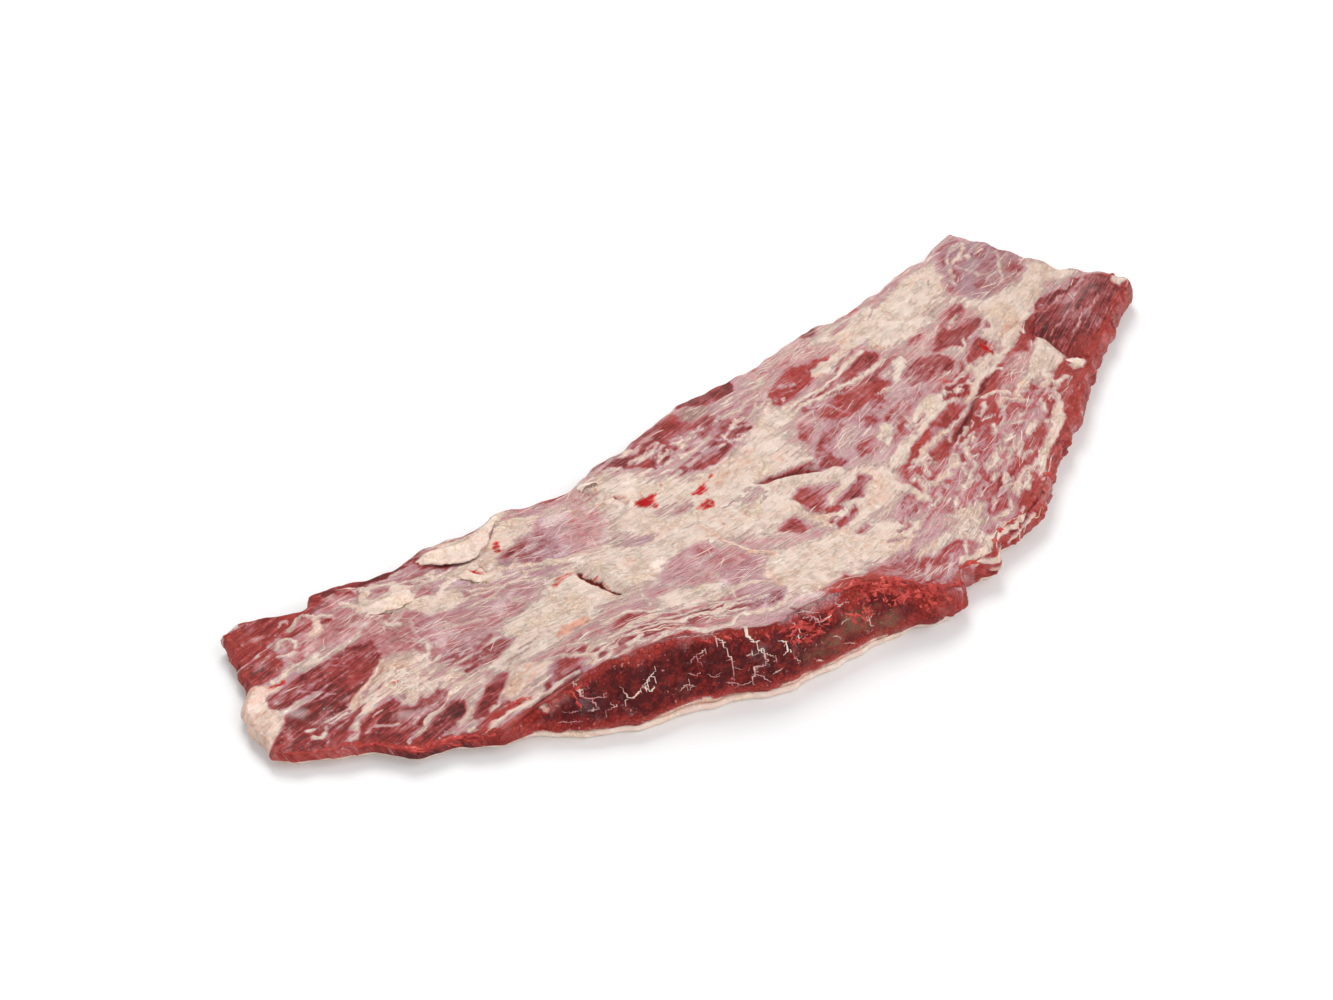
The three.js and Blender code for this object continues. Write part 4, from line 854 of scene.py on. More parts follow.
# Veins in the cut face: width, and the path as distance along the near edge and height.
Vein = namedtuple("Vein", "width points")
FACE_VEINS = [
    Vein(1.5, [(135, 26), (137, 22), (139, 18.5), (143, 17.5), (150, 18)]),
    Vein(1.1, [(143, 17.5), (146, 14.5), (142, 14)]),
    Vein(1.4, [(137, 22), (140, 20.5)]),
    Vein(0.9, [(130, 14), (134, 13.5), (138, 14.5)]),
    Vein(0.8, [(128, 10.5), (134, 10), (139, 11)]),
    Vein(1.2, [(158, 21), (160, 17), (164, 18), (168, 20), (172, 22), (176, 24)]),
    Vein(0.8, [(160, 17), (159, 14)]),
    Vein(1.2, [(168, 20), (172, 17.5), (174, 19)]),
    Vein(0.8, [(172, 22), (171, 19)]),
    Vein(1.0, [(192, 24), (195, 26), (200, 28)]),
    Vein(0.8, [(195, 26), (197, 22)]),
    Vein(0.8, [(190, 20), (194, 18)]),
    Vein(2.6, [(217, 37), (219, 33), (219, 30), (222, 27.5)]),
    Vein(2.3, [(222, 27.5), (224, 24), (226, 21.5), (225, 18.5)]),
    Vein(2.0, [(225, 18.5), (220.5, 18), (219, 15), (218, 12)]),
    Vein(1.3, [(218, 12), (213, 11), (208, 13), (206, 14)]),
    Vein(0.9, [(223.5, 25), (220, 22.5), (217, 23)]),
    Vein(1.0, [(224, 24), (229, 22), (231, 19)]),
    Vein(1.0, [(219, 15), (223, 14), (225, 12)]),
    Vein(1.7, [(203, 34), (205, 31), (208, 29)]),
    Vein(1.1, [(209, 14), (210.5, 19), (209, 25), (207, 29)]),
    Vein(0.8, [(210.5, 19), (214, 18)]),
    Vein(1.1, [(233, 27), (237, 26), (238, 23), (236, 21)]),
    Vein(1.2, [(245, 31), (246.5, 28), (246, 24), (244, 22)]),
    Vein(0.8, [(246.5, 28), (243, 29)]),
    Vein(1.6, [(250, 30), (255, 29), (258, 26), (264, 26), (270, 27), (275, 29)]),
    Vein(0.9, [(255, 29), (258, 31)]),
    Vein(0.9, [(250, 13), (254, 11)]),
    Vein(0.8, [(262, 19), (266, 16)]),
    Vein(0.8, [(268, 13), (273, 10.5)]),
    Vein(0.9, [(282, 19), (284, 14)]),
    Vein(0.8, [(268, 21), (275, 22)]),
    Vein(0.7, [(228, 14), (233, 16)]),
    Vein(0.7, [(184, 14), (188, 16), (193, 14.5)]),
    Vein(0.6, [(199, 19), (204, 17)]),
    Vein(0.7, [(150, 13), (155, 15)]),
    Vein(0.7, [(240, 18), (243, 15)]),
]

RIBBONS = [
    Vein(4.2, [(234, 30), (240, 29.5), (247, 28), (254, 27)]),
    Vein(3.0, [(238, 27.5), (250, 26), (262, 26), (272, 27)]),
    Vein(2.2, [(264, 33.5), (276, 33), (288, 31), (298, 27)]),
    Vein(3.0, [(314, 25), (317, 20), (320, 14)]),
    Vein(2.4, [(319, 24), (323, 18), (325, 11)]),
    Vein(2.6, [(331, 22), (335, 16), (338, 9)]),
    Vein(2.0, [(306, 27), (311, 22), (314, 15)]),
    Vein(2.2, [(36, 9), (52, 10), (70, 10), (88, 10), (104, 10)]),
    Vein(1.8, [(60, 8), (76, 8.5), (92, 9)]),
    Vein(2.4, [(345, 18), (353, 16), (358, 12)]),
]

TOP_PAINT = (BROAD_PAINT, LEFT_PAINT, MIDDLE_PAINT, FAR_PAINT, RIGHT_PAINT, NEAR_RIGHT_PAINT)

# Flaps of fat: how high the free edge lifts, how thick the flap is, the line where it holds on and
# its free edge.
Flap = namedtuple("Flap", "lift thick root edge")
FLAPS = [
    Flap(1.7, 1.6, [(-152, 81.5), (-145, 82), (-136, 78), (-127, 75.5), (-118, 76), (-107, 81)],
         [(-154, 80), (-146, 73.6), (-139.6, 68.2), (-133, 65), (-124, 66), (-115.4, 72), (-106, 77)]),
    Flap(0.8, 0.9, [(-190, 73), (-180, 73), (-165, 71)], [(-188, 67), (-179, 63), (-166, 62)]),
    Flap(0.8, 0.6, [(-137, 62), (-136, 55), (-131, 49)], [(-144, 60), (-142.5, 54), (-138, 48)]),
    Flap(1.3, 0.7, [(-66, 70), (-58, 69), (-53, 66)], [(-65, 66), (-60, 65), (-54, 65)]),
    Flap(1.2, 0.7, [(-63, 53), (-62, 48), (-60, 44)], [(-58, 51), (-57.5, 46), (-56, 42)]),
    Flap(1.2, 0.8, [(186, -20), (187, -24), (186, -28)], [(191, -19), (192, -23), (191, -28)]),
]


def spline_points(points, count):
    """Evenly spaced points on a centripetal Catmull-Rom curve."""
    knots = np.array(points, float)
    knots = np.vstack([2 * knots[0] - knots[1], knots, 2 * knots[-1] - knots[-2]])
    shares = np.linspace(0, 1, 33)[:-1, None]
    dense = []
    for i in range(len(points) - 1):
        before, start, end, after = knots[i:i + 4]
        gaps = [np.linalg.norm(v) ** 0.5 for v in (start - before, end - start, after - end)]
        leave = ((start - before) / gaps[0] - (end - before) / (gaps[0] + gaps[1]) + (end - start) / gaps[1])
        arrive = ((end - start) / gaps[1] - (after - start) / (gaps[1] + gaps[2]) + (after - end) / gaps[2])
        leave, arrive = leave * gaps[1], arrive * gaps[1]
        dense.append(start + leave * shares + (-3 * start + 3 * end - 2 * leave - arrive) * shares ** 2
                     + (2 * start - 2 * end + leave + arrive) * shares ** 3)
    dense = np.vstack(dense + [knots[-2:-1]])
    travelled = np.r_[0, np.cumsum(np.linalg.norm(np.diff(dense, axis=0), axis=1))]
    wanted = np.linspace(0, travelled[-1], count + 1)
    return np.stack([np.interp(wanted, travelled, dense[:, k]) for k in range(2)], -1)


def values_at(values, shares):
    """A smooth curve through the values at the stations."""
    stations, values = np.array(STATIONS, float), np.array(values, float)
    last = len(stations) - 1
    left, right = np.maximum(np.arange(last + 1) - 1, 0), np.minimum(np.arange(last + 1) + 1, last)
    slopes = (values[right] - values[left]) / (stations[right] - stations[left])
    i = np.clip(np.searchsorted(stations, shares) - 1, 0, last - 1)
    span = stations[i + 1] - stations[i]
    u = (shares - stations[i]) / span
    return ((2 * u ** 3 - 3 * u ** 2 + 1) * values[i] + (u ** 3 - 2 * u ** 2 + u) * span * slopes[i]
            + (3 * u ** 2 - 2 * u ** 3) * values[i + 1] + (u ** 3 - u ** 2) * span * slopes[i + 1])


def thickness(along, across):
    near, middle, far = (values_at(v, along) for v in (NEAR_HEIGHT, MIDDLE_HEIGHT, FAR_HEIGHT))
    return (near * (1 - across) * (1 - 2 * across) + middle * 4 * across * (1 - across)
            + far * across * (2 * across - 1))


def smoothstep(x, low, high):
    share = np.clip((x - low) / (high - low), 0, 1)
    return share * share * (3 - 2 * share)


def wave(turns, size, phase):
    return size * np.sin(2 * math.pi * turns + phase)


def path_distance(x, y, path):
    nearest = np.full(len(x), np.inf)
    for (ax, ay), (bx, by) in zip(path[:-1], path[1:]):
        dx, dy = bx - ax, by - ay
        share = np.clip(((x - ax) * dx + (y - ay) * dy) / (dx * dx + dy * dy), 0, 1)
        nearest = np.minimum(nearest, np.hypot(x - ax - share * dx, y - ay - share * dy))
    return nearest


def depth_inside(x, y, outline):
    """Distance to a closed outline, positive inside it."""
    closed = list(outline) + [outline[0]]
    inside = np.zeros(len(x), bool)
    for (ax, ay), (bx, by) in zip(closed[:-1], closed[1:]):
        if ay == by:
            continue
        crosses = (ay > y) != (by > y)
        inside ^= crosses & (x < (bx - ax) * (y - ay) / (by - ay) + ax)
    distance = path_distance(x, y, closed)
    return np.where(inside, distance, -distance)


class Noise:
    """Smooth noise from minus one to one, the same on every run."""

    SIZE = 128

    def __init__(self, seed):
        self.lattice = np.random.default_rng(seed).uniform(-1, 1, (self.SIZE, self.SIZE))

    def at(self, u, v):
        i, j = np.floor(u).astype(int), np.floor(v).astype(int)
        fu, fv = u - i, v - j
        fu, fv = fu * fu * (3 - 2 * fu), fv * fv * (3 - 2 * fv)
        i0, j0 = i % self.SIZE, j % self.SIZE
        i1, j1 = (i0 + 1) % self.SIZE, (j0 + 1) % self.SIZE
        lattice = self.lattice
        return ((lattice[i0, j0] * (1 - fu) + lattice[i1, j0] * fu) * (1 - fv)
                + (lattice[i0, j1] * (1 - fu) + lattice[i1, j1] * fu) * fv)

    def layered(self, u, v, layers):
        total, share, reached = 0.0, 1.0, 0.0
        for layer in range(layers):
            total = total + share * self.at(u * 2 ** layer + 17.3 * layer, v * 2 ** layer + 5.1 * layer)
            reached += share
            share *= 0.55
        return total / reached


class Outline:
    """The widest outline as one loop, with what the sides need at each of its points."""

    def __init__(self, columns, rows):
        self.columns, self.rows = columns, rows
        near, far = spline_points(NEAR_EDGE, columns), spline_points(FAR_EDGE, columns)
        right, left = spline_points(RIGHT_END, rows), spline_points(LEFT_END, rows)
        loop = np.vstack([near[:-1], right[:-1], far[::-1][:-1], left[::-1][:-1]])
        self.count = len(loop)
        self.smooth_steps = round((EDGE_BLEND * columns) ** 2 * 2)
        steps = np.linalg.norm(np.diff(loop, axis=0), axis=1)
        self.travelled = np.r_[0, np.cumsum(steps)]
        self.normals = self.find_normals(loop)
        out = sum(wave(self.travelled / length, size, phase) for length, size, phase in EDGE_WAVES)
        self.points = loop + out[:, None] * self.normals
        self.normals = self.find_normals(self.points)
        self.foot = LEAN_FOOT
        along, across = np.arange(columns) / columns, np.arange(rows) / rows
        back, down = 1 - along, 1 - across
        self.rim_height = np.concatenate([
            thickness(along, 0 * along), thickness(1 + 0 * across, across),
            thickness(back, 1 + 0 * back), thickness(0 * down, down)])
        leans = [values_at(NEAR_LEAN, along), RIGHT_LEAN + 0 * across, FAR_LEAN + 0 * along,
                 LEFT_LEAN + 0 * across]
        rounds = [np.where(along < CUT_FACE_ENDS, CUT_ROUND, SIDE_ROUND), SIDE_ROUND + 0 * across,
                  SIDE_ROUND + 0 * along, LEFT_ROUND + 0 * across]
        self.leans = self.smooth(np.concatenate(leans))
        self.rounds = self.smooth(np.concatenate(rounds))
        self.widest = self.foot + WIDEST_SHARE * (self.rim_height - self.foot)
        self.reach = self.leans * (self.rim_height - self.widest)

    def smooth(self, values, times=1):
        for _ in range(self.smooth_steps * times):
            values = (np.roll(values, 1, 0) + 2 * values + np.roll(values, -1, 0)) / 4
        return values

    def find_normals(self, loop):
        smoothed = self.smooth(loop, 2)
        along = np.roll(smoothed, -1, 0) - np.roll(smoothed, 1, 0)
        normals = np.stack([along[:, 1], -along[:, 0]], -1)
        return normals / np.linalg.norm(normals, axis=1, keepdims=True)

    def inset(self, amounts):
        return self.points - np.reshape(amounts, (-1, 1)) * self.normals

    def patch(self, loop):
        """Points of a patch that meets all four edges of a loop."""
        columns, rows = self.columns, self.rows
        ends = [0, columns, columns + rows, 2 * columns + rows, len(loop)]
        closed = np.vstack([loop, loop[:1]])
        near, right, far, left = (closed[a:b + 1] for a, b in zip(ends[:-1], ends[1:]))
        far, left = far[::-1], left[::-1]
        s = np.linspace(0, 1, columns + 1)[None, :, None]
        t = np.linspace(0, 1, rows + 1)[:, None, None]
        corners = ((left[0] * (1 - s) + right[0] * s) * (1 - t) + (left[-1] * (1 - s) + right[-1] * s) * t)
        return near[None] * (1 - t) + far[None] * t + left[:, None] * (1 - s) + right[:, None] * s - corners

    def border(self):
        """The numbers of the patch's border points, in the loop's order."""
        columns, rows = self.columns, self.rows
        number = np.arange((columns + 1) * (rows + 1)).reshape(rows + 1, columns + 1)
        return np.concatenate([number[0, :-1], number[:-1, -1], number[-1, ::-1][:-1], number[::-1, 0][:-1]])


def plan_shift():
    """From the plan's own frame to the frame of the CAD model, in millimetres."""
    outline = Outline(96, 34).points
    low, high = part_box("lean")
    middle = [(low[k] + high[k]) / 2 / MILLIMETRE for k in range(2)]
    return np.array(middle) - (outline.min(0) + outline.max(0)) / 2


SHIFT = plan_shift()


def grain_slope(x, y):
    """How steeply the muscle's fibres climb across the plan, which changes from edge to edge."""
    near_y = np.interp(x, [p[0] for p in NEAR_EDGE], [p[1] for p in NEAR_EDGE])
    far_y = np.interp(x, [p[0] for p in FAR_EDGE], [p[1] for p in FAR_EDGE])
    share = np.clip((y - near_y) / (far_y - near_y), 0, 1)
    stations = [station for station, _, _ in FIBRES]
    near = np.interp(x, stations, [slope for _, slope, _ in FIBRES])
    far = np.interp(x, stations, [slope for _, _, slope in FIBRES])
    return near * (1 - share) + far * share


def fibre_heading(x, y):
    return math.atan(float(grain_slope(np.array([x]), np.array([y]))[0]))


def grain_coordinates(x, y):
    """Distance along the fibres and across them, from walking along the fibres to x = 0."""
    steps = 48
    walked = y.copy()
    here = x.copy()
    stride = x / steps
    for _ in range(steps):
        walked = walked - grain_slope(here, walked) * stride
        here = here - stride
    return x, walked


def waviness_at(x, y):
    """How far a painted place is read off its true place."""
    offsets = []
    for seed in (31, 41):
        broad = 1.5 * Noise(seed).layered(x / 9, y / 9, 2)
        offsets.append(broad + 1.0 * Noise(seed + 1).layered(x / 3.6, y / 3.6, 2))
    return offsets


class Canvas:
    """Values at the vertices that areas and strokes are painted into. Places are read through a
    little waviness, so that no painted edge is straight or even."""

    def __init__(self, x, y, waviness=1.0):
        wave_x, wave_y = waviness_at(x, y)
        self.x, self.y = x + waviness * wave_x, y + waviness * wave_y
        self.wear = Noise(35).layered(x / 2.6, y / 2.6, 2)
        self.cover = np.full(len(x), 0.5)
        self.tone = np.zeros(len(x))

    def near(self, points, margin):
        points = np.array(points)
        low, high = points.min(0) - margin, points.max(0) + margin
        inside = (self.x > low[0]) & (self.x < high[0]) & (self.y > low[1]) & (self.y < high[1])
        return np.nonzero(inside)[0]

    def paint(self, brushes):
        for brush in brushes:
            if isinstance(brush, Area):
                chosen = self.near(brush.points, brush.feather)
                depth = depth_inside(self.x[chosen], self.y[chosen], brush.points)
                alpha = smoothstep(depth, -brush.feather, brush.feather)
            else:
                half = brush.width / 2
                chosen = self.near(brush.points, half + 1.5)
                distance = path_distance(self.x[chosen], self.y[chosen], brush.points)
                distance += self.wear[chosen] * (0.3 + 0.35 * half)
                alpha = smoothstep(-distance, -half - 0.6, -max(half - 0.9, 0))
            self.cover[chosen] += (brush.cover - self.cover[chosen]) * alpha
            if brush.tone is not None:
                self.tone[chosen] += (brush.tone - self.tone[chosen]) * alpha

    def marks(self, marks, softness=0.6):
        total = np.zeros(len(self.x))
        for mark in marks:
            half = mark.width / 2
            chosen = self.near(mark.points, half + 2)
            distance = path_distance(self.x[chosen], self.y[chosen], mark.points)
            soft = max(softness, half * 0.5)
            distance += self.wear[chosen] * 0.35 * half
            alpha = mark.strength * smoothstep(-distance, -half - soft, soft - half)
            total[chosen] = np.maximum(total[chosen], alpha)
        return total


def broad_relief(x, y):
    rise = np.zeros(len(x))
    for form in FORMS:
        off = path_distance(x, y, form.path) / form.reach
        rise += form.rise * np.exp(-2 * off * off)
    across_grain = y - GRAIN_SLOPE * x - GRAIN_BEND * x * x
    ripple = LEAST_RIPPLE + (1 - LEAST_RIPPLE) * smoothstep(x, SMOOTH_LEFT_OF, RIPPLED_RIGHT_OF)
    for pitch, size, sway, every, phase in STRANDS:
        swayed = across_grain / pitch + wave(x / every, sway, phase)
        rise += ripple * wave(swayed, size, phase)
    return rise


def new_mesh(name, points, faces, material):
    """A smooth-shaded mesh piece from points in millimetres in plan."""
    placed = np.array(points, float)
    placed[:, :2] += SHIFT
    low, high = np.array(CAD_BOX[0]) / MILLIMETRE, np.array(CAD_BOX[1]) / MILLIMETRE
    placed = np.clip(placed, low, high) * MILLIMETRE
    mesh = bpy.data.meshes.new(name)
    mesh.from_pydata(placed.tolist(), [], faces)
    mesh.update()
    piece = bpy.data.objects.new(name, mesh)
    bpy.context.scene.collection.objects.link(piece)
    mesh.materials.append(material)
    mesh.shade_smooth()
    return piece


def add_values(piece, name, values):
    attribute = piece.data.attributes.new(name, "FLOAT", "POINT")
    attribute.data.foreach_set("value", np.ascontiguousarray(values, np.float32))


def add_grain_map(piece, along, across):
    """The piece's UV map: centimetres along the fibres and across them."""
    layer = piece.data.uv_layers.new(name="grain")
    corners = np.empty(len(piece.data.loops), int)
    piece.data.loops.foreach_get("vertex_index", corners)
    pairs = np.stack([along[corners], across[corners]], -1) / 10
    layer.data.foreach_set("uv", pairs.astype(np.float32).ravel())


def grid_faces(columns, rows):
    number = np.arange((columns + 1) * (rows + 1)).reshape(rows + 1, columns + 1)
    quads = np.stack([number[:-1, :-1], number[:-1, 1:], number[1:, 1:], number[1:, :-1]], -1)
    return quads.reshape(-1, 4).tolist()


def wall_faces(upper, lower):
    return np.stack([upper, lower, np.roll(lower, -1), np.roll(upper, -1)], -1).tolist()


def close_below(piece):
    """Fills the open foot of a shell, facing down."""
    made = bmesh.new()
    made.from_mesh(piece.data)
    rim = [edge for edge in made.edges if edge.is_boundary]
    filled = bmesh.ops.triangle_fill(made, use_beauty=True, edges=rim, normal=(0, 0, -1))
    for face in filled["geom"]:
        if isinstance(face, bmesh.types.BMFace) and face.normal.z > 0:
            face.normal_flip()
    made.to_mesh(piece.data)
    made.free()


def settings():
    return bpy.context.scene.rib_cap


class Shader:
    """A short way to write the nodes of a material or a group."""

    def __init__(self, tree):
        self.tree = tree

    def node(self, kind, **values):
        made = self.tree.nodes.new(kind)
        for name, value in values.items():
            setattr(made, name, value)
        return made

    def link(self, source, socket):
        if hasattr(source, "is_output"):
            self.tree.links.new(source, socket)
        else:
            socket.default_value = source

    def value(self, name):
        return self.node("ShaderNodeAttribute", attribute_name=name).outputs["Fac"]

    def math(self, operation, a, b=0.0, c=0.0, clamp=False):
        made = self.node("ShaderNodeMath", operation=operation, use_clamp=clamp)
        for socket, source in zip(made.inputs, (a, b, c)):
            self.link(source, socket)
        return made.outputs[0]

    def step(self, source, low, high):
        made = self.node("ShaderNodeMapRange", interpolation_type="SMOOTHSTEP")
        for name, given in (("Value", source), ("From Min", low), ("From Max", high)):
            self.link(given, made.inputs[name])
        return made.outputs["Result"]

    def mix(self, share, a, b, blend="MIX"):
        made = self.node("ShaderNodeMix", data_type="RGBA", blend_type=blend)
        self.link(share, made.inputs[0])
        self.link(a, made.inputs[6])
        self.link(b, made.inputs[7])
        return made.outputs[2]

    def scaled(self, source, scale):
        made = self.node("ShaderNodeMapping")
        self.link(source, made.inputs["Vector"])
        made.inputs["Scale"].default_value = scale
        return made.outputs["Vector"]

    def noise(self, source, scale, detail=2.0, roughness=0.5, distortion=0.0):
        made = self.node("ShaderNodeTexNoise")
        self.link(source, made.inputs["Vector"])
        for name, given in (("Scale", scale), ("Detail", detail), ("Roughness", roughness),
                            ("Distortion", distortion)):
            made.inputs[name].default_value = given
        return made.outputs["Fac"]

    def cells(self, source, scale, feature="DISTANCE_TO_EDGE"):
        made = self.node("ShaderNodeTexVoronoi", feature=feature)
        self.link(source, made.inputs["Vector"])
        made.inputs["Scale"].default_value = scale
        return made.outputs["Distance"]

    def ramp(self, source, stops):
        made = self.node("ShaderNodeValToRGB")
        self.link(source, made.inputs["Fac"])
        elements = made.color_ramp.elements
        while len(elements) < len(stops):
            elements.new(0.5)
        for element, (place, colour) in zip(elements, stops):
            element.position = place
            element.color = (*colour[:3], 1)
        return made.outputs["Color"]

    def bump(self, height, distance, strength=1.0):
        made = self.node("ShaderNodeBump")
        made.inputs["Distance"].default_value = distance
        made.inputs["Strength"].default_value = strength
        self.link(height, made.inputs["Height"])
        return made.outputs["Normal"]


def new_material(name):
    material = bpy.data.materials.new(name)
    material.use_nodes = True
    tree = material.node_tree
    shader = Shader(tree)
    surface = tree.nodes["Principled BSDF"]
    return material, shader, surface


def srgb(red, green, blue):
    """A colour as seen on the screen, turned to the linear one that the shaders use."""
    shares = [channel / 255 for channel in (red, green, blue)]
    linear = [s / 12.92 if s <= 0.04045 else ((s + 0.055) / 1.055) ** 2.4 for s in shares]
    return (*linear, 1.0)


def soften(surface):
    """Light spreads a little under the surface, redder than it came."""
    surface.inputs["Subsurface Weight"].default_value = 0.12
    surface.inputs["Subsurface Radius"].default_value = (1.0, 0.35, 0.22)
    surface.inputs["Subsurface Scale"].default_value = 0.0016


def creases_group():
    """Thin winding lines, mostly along the fibres, as a mask from none to full."""
    found = bpy.data.node_groups.get("creases")
    if found:
        return found
    group = bpy.data.node_groups.new("creases", "ShaderNodeTree")
    for name, kind in (("Fibres", "NodeSocketVector"), ("Width", "NodeSocketFloat")):
        group.interface.new_socket(name, in_out="INPUT", socket_type=kind)
    group.interface.new_socket("Lines", in_out="OUTPUT", socket_type="NodeSocketFloat")
    shader = Shader(group)
    given = shader.node("NodeGroupInput").outputs
    winding = shader.noise(given["Fibres"], 1.0, 3, 0.6, 0.6)
    off_line = shader.math("ABSOLUTE", shader.math("SUBTRACT", winding, 0.5))
    lines = shader.math("SUBTRACT", 1.0, shader.step(off_line, 0.0, given["Width"]))
    shader.link(lines, shader.node("NodeGroupOutput").inputs["Lines"])
    return group


def add_creases(shader, fibres, scale, width):
    made = shader.node("ShaderNodeGroup", node_tree=creases_group())
    shader.link(shader.scaled(fibres, scale), made.inputs["Fibres"])
    made.inputs["Width"].default_value = width
    return made.outputs["Lines"]


def fat_group():
    """The look of beef fat: its colour and its relief, from a place on it, how thick the fat is
    and how stained."""
    found = bpy.data.node_groups.get("beef fat")
    if found:
        return found
    group = bpy.data.node_groups.new("beef fat", "ShaderNodeTree")
    for name, kind in (("Place", "NodeSocketVector"), ("Fibres", "NodeSocketVector"),
                       ("Thickness", "NodeSocketFloat"), ("Stain", "NodeSocketFloat")):
        group.interface.new_socket(name, in_out="INPUT", socket_type=kind)
    for name, kind in (("Colour", "NodeSocketColor"), ("Relief", "NodeSocketFloat")):
        group.interface.new_socket(name, in_out="OUTPUT", socket_type=kind)
    shader = Shader(group)
    given = shader.node("NodeGroupInput").outputs
    colours = settings().colours
    blotches = shader.noise(given["Place"], 62, 5, 0.65, 0.4)
    lumps = shader.noise(given["Place"], 190, 3, 0.55, 0.5)
    crumbs = shader.noise(given["Place"], 560, 3, 0.6)
    streaks = shader.noise(shader.scaled(given["Fibres"], (1.3, 5, 1)), 1.0, 4, 0.65, 1.2)

    base = shader.mix(shader.step(given["Thickness"], 0.55, 1.0), tuple(colours.fat_grey), tuple(colours.fat))
    warm = shader.math("MULTIPLY", shader.step(blotches, 0.46, 0.66), 0.75)
    base = shader.mix(warm, base, tuple(colours.fat_warm))
    thin = shader.math("MULTIPLY", shader.step(streaks, 0.52, 0.72), 0.28)
    base = shader.mix(thin, base, tuple(colours.fat_grey))
    # Painted highlight: the highest crumbs and lumps, where the relief rises, are painted lighter.
    light = shader.math("MULTIPLY", shader.step(shader.math("MULTIPLY_ADD", lumps, 0.5, shader.math(
        "MULTIPLY", crumbs, 0.5)), 0.5, 0.66), 0.7)
    base = shader.mix(light, base, tuple(colours.fat_highlight))

    # Juice gathers in patches and in the creases; the creases are also painted darker, as painted shade.
    pools = shader.step(shader.noise(given["Place"], 34, 5, 0.7, 0.8), 0.53, 0.7)
    stain = shader.math("MULTIPLY_ADD", pools, 0.62, given["Stain"])
    stain = shader.math("MULTIPLY", stain, shader.step(streaks, 0.32, 0.6), clamp=True)
    base = shader.mix(shader.math("MULTIPLY", stain, 0.85), base, tuple(colours.fat_pink))
    lines = add_creases(shader, given["Fibres"], (2.2, 5.5, 1), 0.03)
    wide = add_creases(shader, given["Place"], (170, 170, 170), 0.022)
    patchy = shader.step(blotches, 0.42, 0.58)
    lines = shader.math("MULTIPLY", shader.math("MAXIMUM", shader.math("MULTIPLY", lines, 0.7), wide), patchy)
    crease_stain_and_shade = shader.mix(shader.step(crumbs, 0.4, 0.6), tuple(colours.fat_crease_stain_and_shade), tuple(colours.fat_pink))
    base = shader.mix(shader.math("MULTIPLY", lines, 0.42), base, crease_stain_and_shade)

    roughness_patches = shader.step(shader.noise(given["Place"], 28, 3, 0.6), 0.4, 0.6)
    rough_here = shader.math("MULTIPLY_ADD", roughness_patches, 1.2, 0.4)
    relief = shader.math("MULTIPLY_ADD", streaks, 0.7, shader.math("MULTIPLY", crumbs, 0.5))
    relief = shader.math("MULTIPLY_ADD", shader.math("SUBTRACT", lumps, 0.5), rough_here, relief)
    relief = shader.math("MULTIPLY_ADD", lines, -0.45, relief)
    out = shader.node("NodeGroupOutput").inputs
    shader.link(base, out["Colour"])
    shader.link(relief, out["Relief"])
    return group


